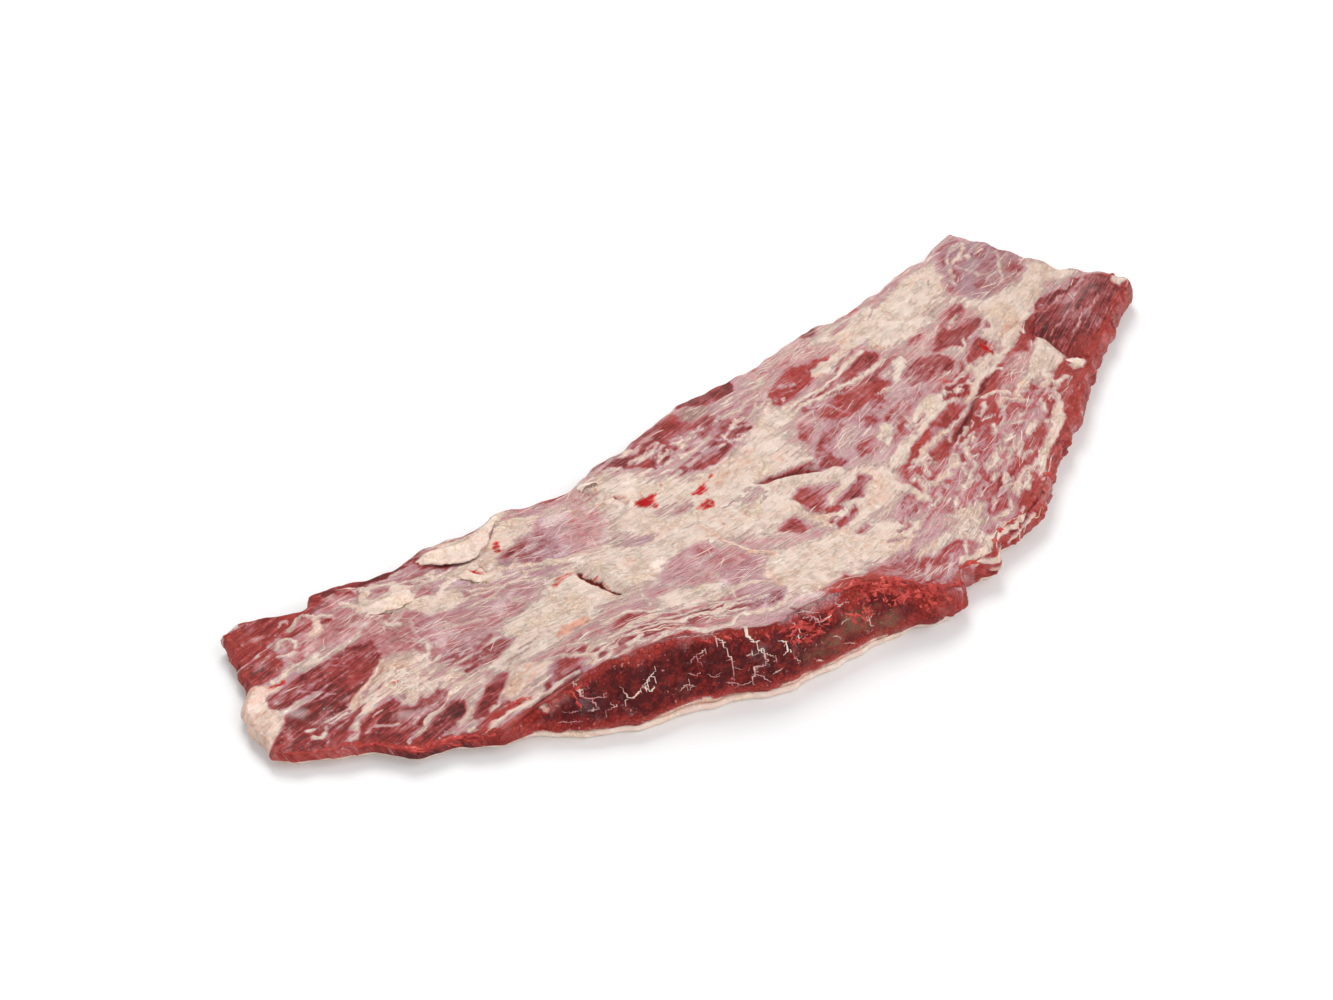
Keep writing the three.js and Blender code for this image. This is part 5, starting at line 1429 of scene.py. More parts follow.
def lean_material():
    material, shader, surface = new_material("lean")
    colours = settings().colours
    place = shader.node("ShaderNodeTexCoord").outputs["Object"]
    cover, tone, cut = shader.value("cover"), shader.value("tone"), shader.value("cut")
    along_fibres = shader.node("ShaderNodeUVMap", uv_map="grain").outputs["UV"]
    fibres = shader.mix(cut, along_fibres, shader.scaled(place, (160, 160, 160)))

    # Streaks along the fibres, threads and crumbs fray the edges of what covers the muscle.
    long_streaks = shader.noise(shader.scaled(fibres, (0.4, 3.0, 1)), 1.0, 5, 0.62, 0.6)
    fine_streaks = shader.noise(shader.scaled(fibres, (0.55, 9, 1)), 1.0, 5, 0.65, 0.8)
    crumbs = shader.noise(place, 420, 3, 0.6)
    clouds = shader.noise(place, 75, 5, 0.62, 0.3)
    fray = shader.math("MULTIPLY", shader.math("SUBTRACT", long_streaks, 0.5), 0.8)
    fray = shader.math("MULTIPLY_ADD", shader.math("SUBTRACT", fine_streaks, 0.5), 0.85, fray)
    fray = shader.math("MULTIPLY_ADD", shader.math("SUBTRACT", crumbs, 0.5), 0.5, fray)
    fray = shader.math("MULTIPLY_ADD", shader.math("SUBTRACT", clouds, 0.5), 0.5, fray)
    web = shader.math("MAXIMUM", add_creases(shader, fibres, (0.5, 5, 1), 0.026),
                      add_creases(shader, fibres, (1.5, 3.2, 1), 0.013))
    broken = shader.step(shader.noise(shader.scaled(fibres, (1.1, 1.6, 1)), 1.0, 3, 0.6), 0.46, 0.58)
    web = shader.math("MULTIPLY", web, broken)
    uncut = shader.math("MULTIPLY_ADD", cut, -0.85, 1.0)
    above_film = shader.step(cover, 0.27, 0.38)
    below_fat = shader.math("SUBTRACT", 1.0, shader.step(cover, 0.5, 0.62))
    filmy = shader.math("MULTIPLY", above_film, below_fat)
    fray = shader.math("MULTIPLY", fray, shader.math("MULTIPLY_ADD", filmy, -0.45, 1.0))
    fray = shader.math("MULTIPLY_ADD", web, shader.math("MULTIPLY_ADD", filmy, 0.12, 0.24), fray)
    frayed = shader.math("MULTIPLY_ADD", fray, uncut, cover)

    film = shader.ramp(frayed, [
        (0.0, colours.deep_muscle_and_shade), (0.13, colours.muscle), (0.28, colours.muscle_film),
        (0.44, colours.film), (0.6, colours.film_pale)])
    paleness = shader.math("MAXIMUM", shader.math("MULTIPLY", tone, -1.0), 0.0)
    coolness = shader.math("MULTIPLY_ADD", paleness, 1.4, 0.5)
    cool_patches = shader.step(shader.noise(place, 30, 4, 0.6, 0.5), 0.4, 0.62)
    cool = shader.math("MULTIPLY", cool_patches, coolness, clamp=True)
    cool = shader.math("MULTIPLY", cool, shader.step(frayed, 0.15, 0.4))
    cool = shader.math("MULTIPLY", cool, shader.math("SUBTRACT", 1.0, shader.step(frayed, 0.46, 0.6)))
    film = shader.mix(cool, film, tuple(colours.film_cool))
    fat = shader.node("ShaderNodeGroup", node_tree=fat_group())
    shader.link(place, fat.inputs["Place"])
    shader.link(fibres, fat.inputs["Fibres"])
    shader.link(frayed, fat.inputs["Thickness"])
    warmth = shader.math("MAXIMUM", tone, 0.0)
    fray_stain = shader.math("MULTIPLY", fray, 0.6)
    shader.link(shader.math("MULTIPLY_ADD", warmth, 1.5, fray_stain), fat.inputs["Stain"])
    fat_share = shader.step(frayed, 0.59, 0.69)

    # Bare muscle: fibres, with a brick-red or a dark purple cast.
    thread = shader.noise(shader.scaled(fibres, (1.6, 24, 1)), 1.0, 3, 0.6, 0.2)
    threads = shader.step(thread, 0.34, 0.66)
    bare_share = shader.math("SUBTRACT", 1.0, shader.step(frayed, 0.15, 0.5))
    brick = shader.math("MULTIPLY", warmth, shader.math("MULTIPLY_ADD", clouds, 1.6, 0.15), clamp=True)
    brick = shader.math("MULTIPLY", brick, bare_share)
    muscle = shader.mix(brick, film, tuple(colours.muscle_brick))
    wisps = shader.step(shader.math("ADD", fine_streaks, shader.math("MULTIPLY", clouds, 0.7)), 0.88, 1.02)
    wisps = shader.math("MULTIPLY", shader.math("MULTIPLY", wisps, bare_share), 0.22)
    muscle = shader.mix(shader.math("MULTIPLY", wisps, uncut), muscle, tuple(colours.film))
    ember = shader.math("MULTIPLY", shader.step(shader.noise(place, 240, 4, 0.65, 0.6), 0.52, 0.64),
                        shader.step(tone, 0.35, 0.9))
    ember = shader.math("MULTIPLY", ember, shader.math("MULTIPLY", bare_share, 0.6))
    muscle = shader.mix(ember, muscle, tuple(colours.ember))
    deep = shader.math("MULTIPLY", shader.math("MAXIMUM", shader.math("MULTIPLY", tone, -1.0), 0.0), 0.8)
    muscle = shader.mix(deep, muscle, tuple(colours.deep_muscle_and_shade))
    # Painted light and shade along the fibres: the threads are painted lighter, as lit, and the gaps between
    # them darker, as shade.
    lit = shader.math("MULTIPLY", threads, shader.math("MULTIPLY", bare_share, 0.12))
    muscle = shader.mix(shader.math("MULTIPLY", lit, uncut), muscle, tuple(colours.fibre))
    between_threads = shader.math("SUBTRACT", 1.0, threads)
    shade = shader.math("MULTIPLY", between_threads, shader.math("MULTIPLY", bare_share, 0.22))
    muscle = shader.mix(shader.math("MULTIPLY", shade, uncut), muscle, tuple(colours.deep_muscle_and_shade))

    # The cut across the muscle: bundles in several reds, with dark seams between them that are painted shade,
    # and sparse pale flecks.
    seam_shade = shader.math("SUBTRACT", 1.0, shader.step(shader.cells(place, 420), 0.0, 0.16))
    mottled = shader.step(shader.noise(place, 230, 5, 0.72, 0.4), 0.45, 0.6)
    fleck = shader.step(shader.noise(place, 620, 2, 0.5), 0.655, 0.7)
    fleck = shader.math("MULTIPLY", fleck, shader.step(shader.noise(place, 90, 2, 0.5), 0.46, 0.6))
    cut_face = shader.mix(shader.math("MULTIPLY", shader.math("MULTIPLY", mottled, 0.34), cut), muscle,
                          tuple(colours.muscle_brick))
    cut_face = shader.mix(shader.math("MULTIPLY", shader.math("MULTIPLY", seam_shade, 0.5), cut), cut_face,
                          tuple(colours.deep_muscle_and_shade))
    cut_face = shader.mix(shader.math("MULTIPLY", shader.math("MULTIPLY", fleck, 0.7), cut), cut_face,
                          tuple(colours.fibre))

    colour = shader.mix(fat_share, cut_face, fat.outputs["Colour"])
    brown = shader.math("MULTIPLY", shader.value("brown"), shader.step(clouds, 0.34, 0.6), clamp=True)
    crumb_share = shader.step(crumbs, 0.48, 0.6)
    brown_colour = shader.mix(crumb_share, tuple(colours.brown), tuple(colours.muscle_film))
    colour = shader.mix(shader.math("MULTIPLY", brown, 0.8), colour, brown_colour)
    blood = shader.math("MULTIPLY_ADD", fray, 2.4, shader.value("blood"))
    blood_mark = shader.value("blood")
    blood_share = shader.math("MULTIPLY", shader.step(blood, 0.2, 1.0), shader.step(blood_mark, 0, 0.2))
    blood_colour = shader.mix(shader.step(crumbs, 0.42, 0.6), tuple(colours.blood), tuple(colours.ember))
    blood_colour = shader.mix(shader.step(blood_mark, 0.5, 0.9), blood_colour, tuple(colours.blood))
    colour = shader.mix(blood_share, colour, blood_colour)
    # Cracks, and painted shade in hollows and under the flaps, are painted in the crack colour.
    dark = shader.math("MULTIPLY_ADD", fray, 0.35, shader.value("dark"))
    crack_and_shade_mark = shader.value("dark")
    crack_and_shade_share = shader.math("MULTIPLY", shader.step(dark, 0.1, 0.9), shader.step(crack_and_shade_mark, 0, 0.15))
    colour = shader.mix(crack_and_shade_share, colour, tuple(colours.crack_and_shade))
    shader.link(colour, surface.inputs["Base Color"])

    rough = shader.math("MULTIPLY_ADD", fat_share, 0.12, 0.36)
    rough = shader.math("MULTIPLY_ADD", shader.math("SUBTRACT", crumbs, 0.5), 0.3, rough)
    rough = shader.math("MULTIPLY_ADD", crack_and_shade_share, 0.4, rough)
    shader.link(rough, surface.inputs["Roughness"])
    wet_spots = shader.value("wet")
    cloud_share = shader.step(clouds, 0.5, 0.68)
    wet = shader.math("MULTIPLY", cloud_share, shader.math("SUBTRACT", 0.45, crack_and_shade_share, clamp=True))
    glints = shader.math("MULTIPLY", shader.step(shader.noise(place, 700, 2, 0.5), 0.62, 0.68), bare_share)
    glints = shader.math("MULTIPLY", glints, shader.step(clouds, 0.4, 0.6))
    wet = shader.math("MAXIMUM", wet, shader.math("MAXIMUM", wet_spots, glints))
    shader.link(wet, surface.inputs["Coat Weight"])
    surface.inputs["Coat Roughness"].default_value = 0.12
    surface.inputs["Specular IOR Level"].default_value = 0.14

    fibre_height = shader.math("MULTIPLY", thread, shader.math("MULTIPLY_ADD", bare_share, 0.7, 0.3))
    fat_relief = shader.math("MULTIPLY", fat_share, 0.6)
    height = shader.math("MULTIPLY_ADD", fat.outputs["Relief"], fat_relief, fibre_height)
    height = shader.math("MULTIPLY_ADD", fine_streaks, 0.8, height)
    height = shader.math("MULTIPLY_ADD", web, 0.3, height)
    height = shader.math("MULTIPLY_ADD", ember, 1.2, height)
    height = shader.math("MULTIPLY_ADD", glints, 0.9, height)
    beads = shader.noise(place, 260, 2, 0.5)
    height = shader.math("MULTIPLY_ADD", beads, shader.math("MULTIPLY", wet_spots, 2.2), height)
    height = shader.math("MULTIPLY_ADD", crumbs, shader.math("MULTIPLY_ADD", cut, 0.9, 0.4), height)
    shader.link(shader.bump(height, 0.0012, 0.9), surface.inputs["Normal"])
    soften(surface)
    return material


def torn_material():
    material, shader, surface = new_material("torn muscle")
    colours = settings().colours
    place = shader.node("ShaderNodeTexCoord").outputs["Object"]
    patches, grains = shader.noise(place, 120, 4, 0.65, 0.5), shader.noise(place, 500, 3, 0.6)
    colour = shader.mix(shader.step(patches, 0.36, 0.66), tuple(colours.muscle), tuple(colours.muscle_brick))
    ember_share = shader.math("MULTIPLY", shader.step(grains, 0.45, 0.64), 0.28)
    colour = shader.mix(ember_share, colour, tuple(colours.ember))
    shader.link(colour, surface.inputs["Base Color"])
    shader.link(shader.math("MULTIPLY_ADD", grains, 0.2, 0.28), surface.inputs["Roughness"])
    shader.link(shader.math("MULTIPLY", shader.step(patches, 0.45, 0.6), 0.5), surface.inputs["Coat Weight"])
    surface.inputs["Coat Roughness"].default_value = 0.12
    surface.inputs["Specular IOR Level"].default_value = 0.2
    shader.link(shader.bump(grains, 0.001, 0.9), surface.inputs["Normal"])
    return material


def thread_material(name, first, second):
    """Thin pale pieces in two mingled colours."""
    material, shader, surface = new_material(name)
    place = shader.node("ShaderNodeTexCoord").outputs["Object"]
    patches = shader.step(shader.noise(place, 60, 4, 0.6), 0.4, 0.62)
    shader.link(shader.mix(patches, tuple(first), tuple(second)), surface.inputs["Base Color"])
    shader.link(shader.math("MULTIPLY_ADD", patches, 0.2, 0.35), surface.inputs["Roughness"])
    surface.inputs["Specular IOR Level"].default_value = 0.2
    return material


def fat_material(name, stain):
    """Fat on pieces of their own: the cover under the cut, strands and flaps."""
    material, shader, surface = new_material(name)
    place = shader.node("ShaderNodeTexCoord").outputs["Object"]
    fat = shader.node("ShaderNodeGroup", node_tree=fat_group())
    shader.link(place, fat.inputs["Place"])
    shader.link(shader.scaled(place, (70, 70, 70)), fat.inputs["Fibres"])
    clouds = shader.noise(place, 60, 4, 0.6)
    shader.link(shader.math("MULTIPLY_ADD", clouds, 0.7, 0.4), fat.inputs["Thickness"])
    shader.link(shader.math("MULTIPLY", shader.step(clouds, 0.3, 0.6), stain), fat.inputs["Stain"])
    shader.link(fat.outputs["Colour"], surface.inputs["Base Color"])
    spots = shader.noise(place, 300, 2, 0.5)
    shader.link(shader.math("MULTIPLY_ADD", spots, 0.25, 0.36), surface.inputs["Roughness"])
    surface.inputs["Specular IOR Level"].default_value = 0.2
    shader.link(shader.bump(fat.outputs["Relief"], 0.001, 0.6), surface.inputs["Normal"])
    soften(surface)
    return material


def lean_grid():
    """How many columns and rows of faces the top has."""
    spacing = settings().sizes.spacing
    return round(540 * MILLIMETRE / spacing), round(165 * MILLIMETRE / spacing)


def shred_strokes():
    """Short strokes of fat, mostly along the fibres, in the areas where shreds are strewn."""
    rng = np.random.default_rng(41)
    strokes = []
    wanted = 0
    for shreds in SHRED_AREAS:
        outline = np.array(shreds.points, float)
        wanted += shreds.count
        while len(strokes) < wanted:
            x, y = rng.uniform(outline.min(0), outline.max(0))
            if depth_inside(np.array([x]), np.array([y]), shreds.points)[0] < 0:
                continue
            heading = fibre_heading(x, y) + rng.normal(0, 0.24)
            points = [(x, y)]
            for _ in range(rng.integers(2, 6)):
                heading += rng.normal(0, 0.22)
                step = rng.uniform(1.5, 3)
                last_x, last_y = points[-1]
                points.append((last_x + step * math.cos(heading), last_y + step * math.sin(heading)))
            strokes.append(stroke(rng.uniform(0.6, 0.92), 0.1, rng.uniform(0.8, 2.6), *points))
    return strokes


def build_lean():
    sizes = settings().sizes
    columns, rows = lean_grid()
    outline = Outline(columns, rows)
    rough = Noise(11)
    ragged = rough.layered(outline.travelled / 7, 0 * outline.travelled + 0.5, 3)
    ragged_out = sizes.ragged / MILLIMETRE * (ragged - 0.4)
    rim = outline.inset(outline.reach - ragged_out)
    plan = outline.patch(rim).reshape(-1, 2)
    t, s = np.meshgrid(np.linspace(0, 1, rows + 1), np.linspace(0, 1, columns + 1), indexing="ij")
    level = thickness(s.ravel(), t.ravel()) + broad_relief(plan[:, 0], plan[:, 1])

    border = outline.border()
    loops, shares = [border], [np.ones(outline.count)]
    points = [np.column_stack([plan, level])]
    rim_level = level[border]
    total = len(plan)
    side_rows = sizes.side_rows
    for row in range(1, side_rows + 1):
        down = row / side_rows
        straight = 1 - down
        inward = outline.reach * (straight + (1 - math.sin(down * math.pi / 2) - straight) * outline.rounds)
        height = outline.widest + (rim_level - outline.widest) * (
            straight + (math.cos(down * math.pi / 2) - straight) * outline.rounds)
        points.append(np.column_stack([outline.inset(inward - ragged_out), height]))
        loops.append(np.arange(total, total + outline.count))
        total += outline.count
    for part in UNDER_ROWS:
        height = outline.widest + (outline.foot - outline.widest) * part
        inward = LEAN_UNDERCUT * part * part
        points.append(np.column_stack([outline.inset(inward - ragged_out), height]))
        loops.append(np.arange(total, total + outline.count))
        total += outline.count

    faces = grid_faces(columns, rows)
    for upper, lower in zip(loops[:-1], loops[1:]):
        faces += wall_faces(upper, lower)
    points = np.vstack(points)
    top_count = len(plan)
    x, y = points[:, 0], points[:, 1]

    top = Canvas(x, y)
    for brushes in TOP_PAINT:
        top.paint(brushes)
    top.paint(shred_strokes())
    # The dark marks are cracks and painted shade in hollows and under the flaps.
    dark, blood = top.marks(CRACK_AND_SHADE_MARKS), top.marks(BLOOD_MARKS)
    brown, wet = top.marks(TOP_BROWN), top.marks(WET_MARKS, 2.0)
    cover, tone = top.cover, top.tone
    cut = np.zeros(total)

    brick_tone = 0.12 * smoothstep(x, 30, 90) + 0.06 * smoothstep(-x, 190, 215)
    tone += brick_tone * (1 - smoothstep(cover, 0.5, 0.7))

    cover -= (0.06 * smoothstep(-x, 120, 180) * (1 - smoothstep(cover, 0.34, 0.58))
              * smoothstep(cover, 0.05, 0.14))

    tone *= 1 - 0.5 * smoothstep(-x, 150, 200) * (tone < 0)

    # The windows in the film are filmier in some places than in others.
    bare = 1 - smoothstep(cover, 0.28, 0.46)
    cover += 0.2 * Noise(25).layered(x / 15, y / 9, 3) * bare * smoothstep(x, -140, -60)

    # Red muscle shows at the rim of the near edge.
    depth = path_distance(x[:top_count], y[:top_count], [tuple(p) for p in rim[:columns:6]])
    along_rim = np.interp(x[:top_count], rim[:columns, 0], np.linspace(0, 1, columns))
    width = np.interp(along_rim, *zip(*RIM_WIDTHS)) * (1 + 0.5 * top.wear[:top_count])
    red = smoothstep(width - depth, -0.6, 0.8)
    cover[:top_count] += (0.06 - cover[:top_count]) * red
    tone[:top_count] += (0.85 - tone[:top_count]) * red

    # The near side is painted on its own canvas, and the others fade to bare muscle.
    side = np.arange(top_count, total)
    loop_place = (side - top_count) % outline.count
    on_near = loop_place < columns
    face = side[on_near]
    face_canvas = Canvas(outline.travelled[loop_place[on_near]], points[face, 2])
    face_canvas.paint(FACE_PAINT)
    rim_z = rim_level[loop_place[on_near]]
    under = smoothstep(rim_z - points[face, 2], -0.3, 1.0)
    cover[face] += (face_canvas.cover - cover[face]) * under
    tone[face] += (face_canvas.tone - tone[face]) * under
    brown[face] = np.maximum(brown[face], face_canvas.marks(FACE_BROWN, 2.0) * under)
    along = loop_place[on_near] / columns
    cut[face] = under * smoothstep(along, 0.12, 0.2) * (1 - smoothstep(along, 0.5, 0.56))
    other = side[~on_near]
    low = smoothstep(rim_level[loop_place[~on_near]] - points[other, 2], 1.0, 6.0)
    cover[other] += (0.3 - cover[other]) * low * 0.8
    tone[other] += (0.1 - tone[other]) * low * 0.8

    # Fine relief: raised fat, sunk cracks, fibres and lumps.
    along_grain, across_grain = grain_coordinates(x, y)
    fat_rise = smoothstep(cover, 0.55, 0.85)
    lumps = Noise(3).layered(x / 9, y / 9, 3)
    fibre = Noise(5).layered(along_grain / 26, across_grain / 3.2, 2)
    strands = Noise(7).layered(along_grain / 60, across_grain / 9, 2)
    rise = fat_rise * (0.45 + 0.35 * lumps) + (1 - fat_rise) * (0.22 * fibre + 0.3 * strands)
    torn = smoothstep(tone, 0.55, 0.9) * (1 - fat_rise)
    rise += torn * (0.5 + 1.1 * Noise(9).layered(x / 4.5, y / 4.5, 3))
    rise += 0.3 * strands * smoothstep(x, -60, 60) - 0.9 * dark
    from_far = path_distance(x, y, FAR_EDGE)
    rise += 2.4 * smoothstep(-x, 186, 206) * (1 - smoothstep(from_far, 2, 11))
    points[:top_count, 2] += rise[:top_count]
    rim_rise = rise[border]
    fade = np.zeros(total)
    for number, loop in enumerate(loops[1:], start=1):
        share = max(0.0, 1 - number / side_rows)
        fade[loop] = share
        points[loop, 2] += rim_rise * share
    normals = outline.normals[loop_place]
    bumps = Noise(13).layered(outline.travelled[loop_place] / 5, points[side, 2] / 4, 3)
    lumpy = Noise(15).layered(outline.travelled[loop_place] / 5.2, points[side, 2] / 3.4, 3)
    torn_side = smoothstep(tone[side], 0.35, 0.8)
    right_end = smoothstep(x[side], 190, 225)
    swell = 0.35 * bumps - 0.25 + torn_side * ((2.6 - 1.4 * right_end) * lumpy - 0.5 + 2.0 * right_end)
    # Painted shade: the hollows between the torn lumps, where the side is pushed in, are painted darker.
    tone[side] -= torn_side * np.clip(-2.0 * lumpy - 0.2, 0, 0.6)
    swell *= np.minimum(1, 4 * (1 - fade[side]))
    points[side, :2] += normals * swell[:, None]

    # The cut face is brighter along its rim and its foot than in the middle.
    face_along, face_height = outline.travelled[loop_place[on_near]], points[face, 2]
    patchy = 3.0 * Noise(21).layered(face_along / 7, face_height / 5, 3)
    rim_band = 1 - smoothstep(rim_z - face_height + patchy, 1.6, 5.6)
    foot_band = 0.7 * (1 - smoothstep(face_height + patchy, 8.5, 14.0))
    tone[face] += (0.75 - tone[face]) * np.maximum(rim_band, foot_band) * cut[face]

    piece = new_mesh("rib_cap_lean", points, faces, lean_material())
    for name, values in (("cover", cover), ("tone", tone), ("dark", dark), ("blood", blood),
                         ("brown", brown), ("wet", wet), ("cut", cut)):
        add_values(piece, name, values)
    across_grain = across_grain.copy()
    across_grain[side] += rim_level[loop_place] - points[side, 2]
    add_grain_map(piece, along_grain, across_grain)
    close_below(piece)
    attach(piece, "root")
    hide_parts("lean")
    return piece


def build_fat_cover():
    sizes = settings().sizes
    spacing = 2.4 * sizes.spacing
    columns, rows = round(540 * MILLIMETRE / spacing), round(165 * MILLIMETRE / spacing)
    outline = Outline(columns, rows)
    along = np.arange(columns) / columns
    shows = (along > FAT_SHOWS_FROM) & (along < FAT_SHOWS_TO)
    shown = np.where(shows, FAT_SHOWN_INSET, FAT_HIDDEN_INSET)
    insets = np.full(outline.count, FAT_HIDDEN_INSET)
    insets[:columns] = shown
    insets = outline.smooth(insets, 2)
    insets = insets + 0.5 * Noise(21).layered(outline.travelled / 9, 0 * outline.travelled, 3) + 0.3
    profile = [(FAT_ROUNDING, 1.0), (0.35, 0.92), (0.0, 0.7), (0.0, 0.45), (0.4, 0.2), (1.2, 0.04)]
    top = outline.patch(outline.inset(insets + profile[0][0])).reshape(-1, 2)
    border = outline.border()
    points = [np.column_stack([top, np.full(len(top), FAT_THICKNESS)])]
    loops, total = [border], len(top)
    for extra, share in profile[1:]:
        loop = outline.inset(insets + extra)
        points.append(np.column_stack([loop, np.full(outline.count, share * FAT_THICKNESS)]))
        loops.append(np.arange(total, total + outline.count))
        total += outline.count
    foot = outline.patch(outline.inset(insets + 2.2)).reshape(-1, 2)
    dimples = np.clip(0.3 + 0.5 * Noise(23).layered(foot[:, 0] / 8, foot[:, 1] / 8, 3), 0, 1)
    points.append(np.column_stack([foot, 0.45 * dimples]))
    loops.append(border + total)
    faces = grid_faces(columns, rows)
    for upper, lower in zip(loops[:-1], loops[1:]):
        faces += wall_faces(upper, lower)
    faces += [[total + corner for corner in reversed(face)] for face in grid_faces(columns, rows)]
    piece = new_mesh("rib_cap_fat_cover", np.vstack(points), faces, fat_material("fat cover", -0.6))
    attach(piece, "root")
    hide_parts("fat_cover")
    return piece


def lean_surface():
    """The finished muscle, ready to be found along a ray, in metres."""
    mesh = bpy.data.objects["rib_cap_lean"].data
    corners = [vertex.co.copy() for vertex in mesh.vertices]
    return BVHTree.FromPolygons(corners, [tuple(face.vertices) for face in mesh.polygons])


def drop(surface, x, y):
    """The height of the muscle's top at a place in plan, in millimetres, and its normal."""
    above = Vector(((x + SHIFT[0]) * MILLIMETRE, (y + SHIFT[1]) * MILLIMETRE, 0.1))
    hit, normal, _, _ = surface.ray_cast(above, Vector((0, 0, -1)))
    if hit is None:
        return FAT_THICKNESS, Vector((0, 0, 1))
    return hit.z / MILLIMETRE, normal


def strand_tree():
    """Lumpy, flattened strands along the paths of a curve object."""
    tree = bpy.data.node_groups.new("strands", "GeometryNodeTree")
    tree.interface.new_socket("Paths", in_out="INPUT", socket_type="NodeSocketGeometry")
    for name, kind in (("Flatness", "NodeSocketFloat"), ("Lump height", "NodeSocketFloat"),
                       ("Lumps a metre", "NodeSocketFloat"), ("Sides", "NodeSocketInt"),
                       ("Finish", "NodeSocketMaterial")):
        tree.interface.new_socket(name, in_out="INPUT", socket_type=kind)
    tree.interface.new_socket("Strands", in_out="OUTPUT", socket_type="NodeSocketGeometry")
    build = Shader(tree)
    given = build.node("NodeGroupInput").outputs
    upright = build.node("GeometryNodeSetCurveNormal", mode="Z_UP")
    build.link(given["Paths"], upright.inputs["Curve"])
    circle = build.node("GeometryNodeCurvePrimitiveCircle")
    build.link(given["Sides"], circle.inputs["Resolution"])
    circle.inputs["Radius"].default_value = 1.0
    flat = build.node("GeometryNodeTransform")
    build.link(circle.outputs["Curve"], flat.inputs["Geometry"])
    scale = build.node("ShaderNodeCombineXYZ")
    scale.inputs["X"].default_value = 1.0
    scale.inputs["Z"].default_value = 1.0
    build.link(given["Flatness"], scale.inputs["Y"])
    build.link(scale.outputs["Vector"], flat.inputs["Scale"])
    tube = build.node("GeometryNodeCurveToMesh")
    build.link(upright.outputs["Curve"], tube.inputs["Curve"])
    build.link(flat.outputs["Geometry"], tube.inputs["Profile Curve"])
    build.link(build.node("GeometryNodeInputRadius").outputs["Radius"], tube.inputs["Scale"])
    tube.inputs["Fill Caps"].default_value = True
    noise = build.node("ShaderNodeTexNoise")
    build.link(build.node("GeometryNodeInputPosition").outputs["Position"], noise.inputs["Vector"])
    build.link(given["Lumps a metre"], noise.inputs["Scale"])
    centred = build.node("ShaderNodeVectorMath", operation="SUBTRACT")
    build.link(noise.outputs["Color"], centred.inputs[0])
    centred.inputs[1].default_value = (0.5, 0.5, 0.5)
    sized = build.node("ShaderNodeVectorMath", operation="SCALE")
    build.link(centred.outputs["Vector"], sized.inputs[0])
    build.link(given["Lump height"], sized.inputs["Scale"])
    moved = build.node("GeometryNodeSetPosition")
    build.link(tube.outputs["Mesh"], moved.inputs["Geometry"])
    build.link(sized.outputs["Vector"], moved.inputs["Offset"])
    smooth = build.node("GeometryNodeSetShadeSmooth")
    build.link(moved.outputs["Geometry"], smooth.inputs["Geometry"])
    real = build.node("GeometryNodeRealizeInstances")
    build.link(smooth.outputs["Geometry"], real.inputs["Geometry"])
    finish = build.node("GeometryNodeSetMaterial")
    build.link(real.outputs["Geometry"], finish.inputs["Geometry"])
    build.link(given["Finish"], finish.inputs["Material"])
    build.link(finish.outputs["Geometry"], build.node("NodeGroupOutput").inputs["Strands"])
    return tree


def strands_piece(name, paths, material, sides, lump_height):
    """One mesh of strands from paths of points and radii in metres."""
    curve = bpy.data.curves.new(name + ".paths", "CURVE")
    curve.dimensions = "3D"
    for points, radii in paths:
        spline = curve.splines.new("POLY")
        spline.points.add(len(points) - 1)
        spline.points.foreach_set("co", np.column_stack([points, np.ones(len(points))]).ravel())
        spline.points.foreach_set("radius", radii)
    holder = bpy.data.objects.new(name + ".paths", curve)
    bpy.context.scene.collection.objects.link(holder)
    modifier = holder.modifiers.new("strands", "NODES")
    tree = bpy.data.node_groups.get("strands") or strand_tree()
    modifier.node_group = tree
    values = {"Flatness": 0.7, "Lump height": lump_height, "Lumps a metre": 700.0, "Sides": sides,
              "Finish": material}
    for item in tree.interface.items_tree:
        if item.in_out == "INPUT" and item.name in values:
            modifier[item.identifier] = values[item.name]
    evaluated = holder.evaluated_get(bpy.context.evaluated_depsgraph_get())
    mesh = bpy.data.meshes.new_from_object(evaluated)
    mesh.name = name
    places = np.empty(3 * len(mesh.vertices), np.float32)
    mesh.vertices.foreach_get("co", places)
    places = np.clip(places.reshape(-1, 3), CAD_BOX[0], CAD_BOX[1])
    mesh.vertices.foreach_set("co", places.astype(np.float32).ravel())
    piece = bpy.data.objects.new(name, mesh)
    bpy.context.scene.collection.objects.link(piece)
    holder.modifiers.remove(modifier)
    bpy.data.objects.remove(holder)
    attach(piece, "root")
    return piece


def tapered(count, width, seed):
    """Radii along a strand, in metres: thin at its ends and uneven between them."""
    share = np.linspace(0, 1, count)
    ends = np.clip(np.minimum(share, 1 - share) * 6, 0.12, 1) ** 0.6
    uneven = 1 + 0.9 * Noise(seed).layered(share * count / 4, 0 * share + seed, 2)
    return width / 2 * MILLIMETRE * ends * uneven


